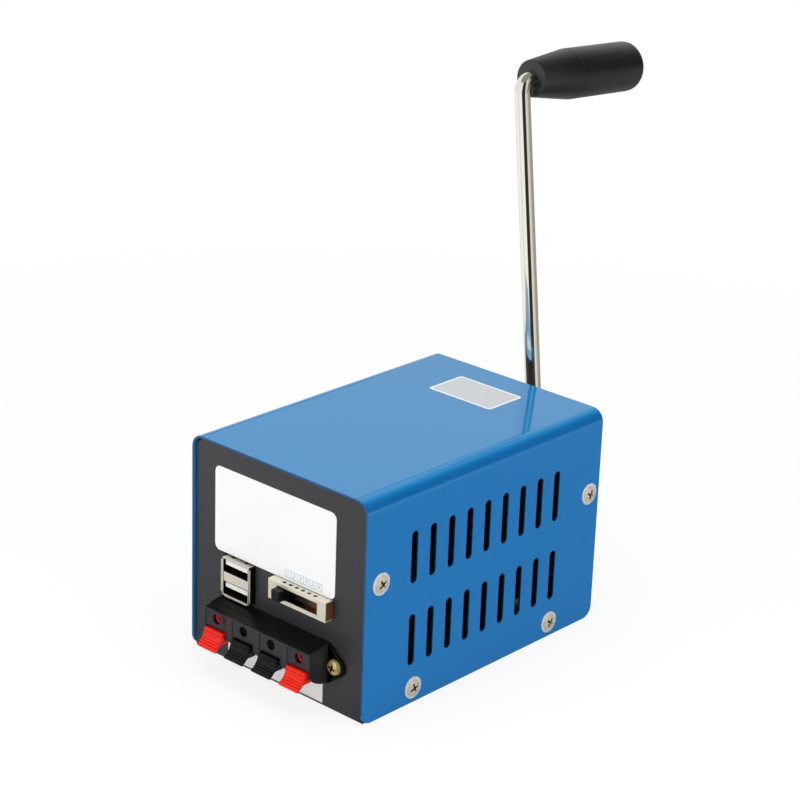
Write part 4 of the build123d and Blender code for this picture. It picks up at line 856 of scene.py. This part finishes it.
def dress_crank():
    """The bright rod, the moulded grip with its seam, and the turned pieces round the shaft."""
    as_piece("crank_arm", rounded_copy("crank_rod", 0.1, 2), "crank", "crank_chrome", ["crank_rod"])
    bore, plug_r, foot, seat, end = GRIP_BORE_R, 6.2, 5.2, 50.0, 63.0
    grip = [(bore, foot), (6.3, foot), (6.85, 5.35), (7.1, 5.8), (9.63, 25.2), (9.66, 25.45), (9.46, 25.6),
            (9.66, 25.75), (9.7, 26.1), (9.7, 60.4), (9.52, 61.5), (9.05, 62.3), (8.3, 62.85), (7.5, end),
            (plug_r, end), (plug_r, seat), (bore, seat), (bore, foot)]
    as_piece("hand_grip", turned_along(grip, ARM_TOP, GRIP_DIR, 72), "grip", "grip_plastic", ["crank_grip"])
    plug = [(0, 59.2), (6.15, 59.2), (6.15, 62.5), (5.85, 62.8), (1.2, 62.8), (1.0, 62.6), (0, 62.6)]
    as_piece("hand_grip_plug", turned_along(plug, ARM_TOP, GRIP_DIR), "grip", "grip_plastic", ["grip_cap"])
    as_piece("crank_collar", rounded_copy("crank_hub", 0.15, 2), "crank", "gear_steel", ["crank_hub"])
    bore, barrel, collar, end = BUSH_BORE_R, 6.0, 8.0, REAR_Y + 1.2
    rear_bush = [(bore, GEARBOX_REAR_Y), (barrel, GEARBOX_REAR_Y), (barrel, REAR_Y), (collar - 0.15, REAR_Y),
                 (collar, REAR_Y + 0.15), (collar, end - 0.15), (collar - 0.15, end), (bore + 0.3, end),
                 (bore, end - 0.3), (bore, GEARBOX_REAR_Y)]
    face, back = GEARBOX_FRONT_Y, GEARBOX_FRONT_Y + GEARBOX_PLATE_T
    front_bush = [(bore, face), (barrel, face), (barrel, back), (collar, back), (collar, back + 1.0),
                  (bore, back + 1.0), (bore, face)]
    both = (("rear_bush", rear_bush, ["crank_bushings"]), ("front_bush", front_bush, ()))
    for name, profile, replaced in both:
        as_piece(name, turned_along(profile, (0, 0, SHAFT_Z), (0, 1, 0)), "housing", "bronze", replaced)


def paint_solids():
    """Every CAD node gets the finish of its slot."""
    for subpart in frame["record"]["subparts"]:
        node = frame["nodes"][subpart["node"]]
        node.data.materials.clear()
        node.data.materials.append(finishes[subpart["material_slot"]])


# ================= stage =================


def set_camera():
    """The camera where the photograph's was."""
    camera = bpy.data.objects.new("camera", bpy.data.cameras.new("camera"))
    camera.data.lens = LENS
    camera.data.sensor_width = SENSOR
    camera.data.clip_start = 0.01
    axes = Matrix((EYE_RIGHT, EYE_UP, [-c for c in EYE_FORWARD])).transposed()
    camera.matrix_world = Matrix.Translation(EYE) @ axes.to_4x4()
    bpy.context.scene.collection.objects.link(camera)
    bpy.context.scene.camera = camera


def area_lamp(name, place, aim, width, height, power):
    """A soft box that lights the part but isn't mirrored in it."""
    lamp = bpy.data.lights.new(name, "AREA")
    lamp.shape = "RECTANGLE"
    lamp.size = width
    lamp.size_y = height
    lamp.energy = power
    holder = bpy.data.objects.new(name, lamp)
    holder.location = place
    holder.rotation_euler = (Vector(aim) - Vector(place)).to_track_quat("-Z", "Y").to_euler()
    holder.visible_glossy = False
    bpy.context.scene.collection.objects.link(holder)


def seen_directly(tree):
    """Two marks of a ray: 1 if it shows the backdrop, directly or by gloss or glass, and 1 if directly."""
    path = add(tree, "ShaderNodeLightPath").outputs
    by_camera, by_gloss, by_glass = (path[f"Is {kind} Ray"] for kind in ("Camera", "Glossy", "Transmission"))
    either = add(tree, "ShaderNodeMath", {0: by_camera, 1: by_gloss}, operation="MAXIMUM").outputs[0]
    seen = add(tree, "ShaderNodeMath", {0: either, 1: by_glass}, operation="MAXIMUM").outputs[0]
    return seen, by_camera


def studio_round(tree, arm, bearings):
    """The studio as gloss sees it, by the bearing of a vector from the crank.

    White paper on the left, the dark gap of the camera stand in front, then a warm wall and a grey one on
    the right.
    """
    parts = [add(tree, "ShaderNodeVectorMath", {0: arm, 1: way}, operation="DOT_PRODUCT")
             for way in (ACROSS_EYE, TOWARDS_EYE)]
    across, along = (part.outputs["Value"] for part in parts)
    bearing = add(tree, "ShaderNodeMath", {0: across, 1: along}, operation="ARCTAN2").outputs[0]
    turn = add(tree, "ShaderNodeMapRange", {0: bearing, 1: -pi, 2: pi}).outputs[0]
    walls = add(tree, "ShaderNodeValToRGB", {0: turn})
    set_stops(walls.color_ramp, [((degrees + 180) / 360, colour) for degrees, colour in bearings])
    return walls.outputs[0]


def paper_in_gloss(tree, place, reach):
    """The tone that gloss sees in the paper: its own shade close to the box, and the walls farther out."""
    arm = add(tree, "ShaderNodeVectorMath", {0: place, 1: ROD_FOOT}, operation="SUBTRACT").outputs[0]
    walls = studio_round(tree, arm, PAPER_BEARINGS)
    right = add(tree, "ShaderNodeSeparateXYZ", {0: place}).outputs["X"]
    side = add(tree, "ShaderNodeMapRange", {0: right, 1: SHADE_TURNS[0], 2: SHADE_TURNS[1]}).outputs[0]
    inner, outer = [add(tree, "ShaderNodeMapRange", {0: side, 3: left_end, 4: right_end}).outputs[0]
                    for left_end, right_end in zip(SHADE_ENDS_LEFT, SHADE_ENDS_RIGHT)]
    clear = add(tree, "ShaderNodeMapRange", {0: reach, 1: inner, 2: outer}, interpolation_type="SMOOTHSTEP")
    near = add(tree, "ShaderNodeMix", {0: side, 6: SHADE_LEFT, 7: SHADE_RIGHT}, data_type="RGBA").outputs[2]
    tone = add(tree, "ShaderNodeMix", {0: clear.outputs[0], 6: near, 7: walls}, data_type="RGBA")
    return tone.outputs[2]


def paper_sweep():
    """Matt white paper: plain white to the camera but for a trace of shadow. Gloss sees the studio in it."""
    material = bpy.data.materials.new("paper_sweep")
    material.use_nodes = True
    tree = material.node_tree
    tree.nodes.clear()
    place = add(tree, "ShaderNodeTexCoord").outputs["Object"]
    reach = add(tree, "ShaderNodeVectorMath", {0: place}, operation="LENGTH").outputs["Value"]
    seen, by_camera = seen_directly(tree)
    paper = add(tree, "ShaderNodeBsdfDiffuse", {"Color": linear("#f4f4f4")}).outputs[0]
    mirrored = add(tree, "ShaderNodeEmission", {"Color": paper_in_gloss(tree, place, reach), "Strength": 1.0})
    white = add(tree, "ShaderNodeEmission", {"Color": PAPER_WHITE, "Strength": 1.0}).outputs[0]
    fading = {0: reach, 1: SHADOW_ENDS[0], 2: SHADOW_ENDS[1], 3: SHADOW_KEPT, 4: 0.0}
    share = add(tree, "ShaderNodeMapRange", fading, interpolation_type="SMOOTHSTEP").outputs[0]
    behind = add(tree, "ShaderNodeMixShader", {0: share, 1: white, 2: paper}).outputs[0]
    shown = add(tree, "ShaderNodeMixShader", {0: by_camera, 1: mirrored.outputs[0], 2: behind}).outputs[0]
    surface = add(tree, "ShaderNodeMixShader", {0: seen, 1: paper, 2: shown}).outputs[0]
    add(tree, "ShaderNodeOutputMaterial", {"Surface": surface})
    return material


def lay_paper():
    """The sheet of paper under the part, wide enough to reach past the frame."""
    half = 6
    corners = [(-half, -half, 0), (half, -half, 0), (half, half, 0), (-half, half, 0)]
    sheet = bpy.data.meshes.new("floor")
    sheet.from_pydata(corners, [], [(0, 1, 2, 3)])
    sheet.materials.append(paper_sweep())
    floor = working_object("floor", sheet)


def build_room():
    """A pale room as light, plain white to the camera, and walls with a grey ceiling to gloss."""
    world = bpy.data.worlds.new("room")
    bpy.context.scene.world = world
    world.use_nodes = True
    tree = world.node_tree
    tree.nodes.clear()
    seen, by_camera = seen_directly(tree)
    light = add(tree, "ShaderNodeBackground", {"Color": PAPER_WHITE, "Strength": ROOM_LIGHT}).outputs[0]
    outward = add(tree, "ShaderNodeTexCoord").outputs["Generated"]
    walls = studio_round(tree, outward, ROOM_BEARINGS)
    up = add(tree, "ShaderNodeSeparateXYZ", {0: outward}).outputs["Z"]
    overhead = add(tree, "ShaderNodeMapRange", {0: up, 1: CEILING_FROM, 2: CEILING_FULL}).outputs[0]
    room = add(tree, "ShaderNodeMix", {0: overhead, 6: walls, 7: CEILING}, data_type="RGBA").outputs[2]
    mirrored = add(tree, "ShaderNodeBackground", {"Color": room, "Strength": ROOM_GLOSS}).outputs[0]
    white = add(tree, "ShaderNodeBackground", {"Color": PAPER_WHITE, "Strength": 1.0}).outputs[0]
    shown = add(tree, "ShaderNodeMixShader", {0: by_camera, 1: mirrored, 2: white}).outputs[0]
    surface = add(tree, "ShaderNodeMixShader", {0: seen, 1: light, 2: shown}).outputs[0]
    add(tree, "ShaderNodeOutputWorld", {"Surface": surface})


def set_stage():
    """A white sweep of paper lit by soft boxes, in a plain pale room."""
    lay_paper()
    build_room()
    for lamp in LAMPS:
        area_lamp(*lamp)


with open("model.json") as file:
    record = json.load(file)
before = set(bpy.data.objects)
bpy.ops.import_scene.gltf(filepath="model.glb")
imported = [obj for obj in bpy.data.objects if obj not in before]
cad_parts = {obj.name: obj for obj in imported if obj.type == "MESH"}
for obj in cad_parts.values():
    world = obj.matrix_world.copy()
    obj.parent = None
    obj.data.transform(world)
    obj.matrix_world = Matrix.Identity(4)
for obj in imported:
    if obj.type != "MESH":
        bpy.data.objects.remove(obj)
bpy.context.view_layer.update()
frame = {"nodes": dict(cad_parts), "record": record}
set_camera()
finishes = make_finishes()
paint_solids()
dress_sheet_metal()
dress_screws()
dress_sockets()
dress_switch()
dress_terminal()
dress_motor()
dress_sticker()
dress_scale()
dress_crank()
set_stage()
bpy.context.scene.view_settings.view_transform = "Standard"
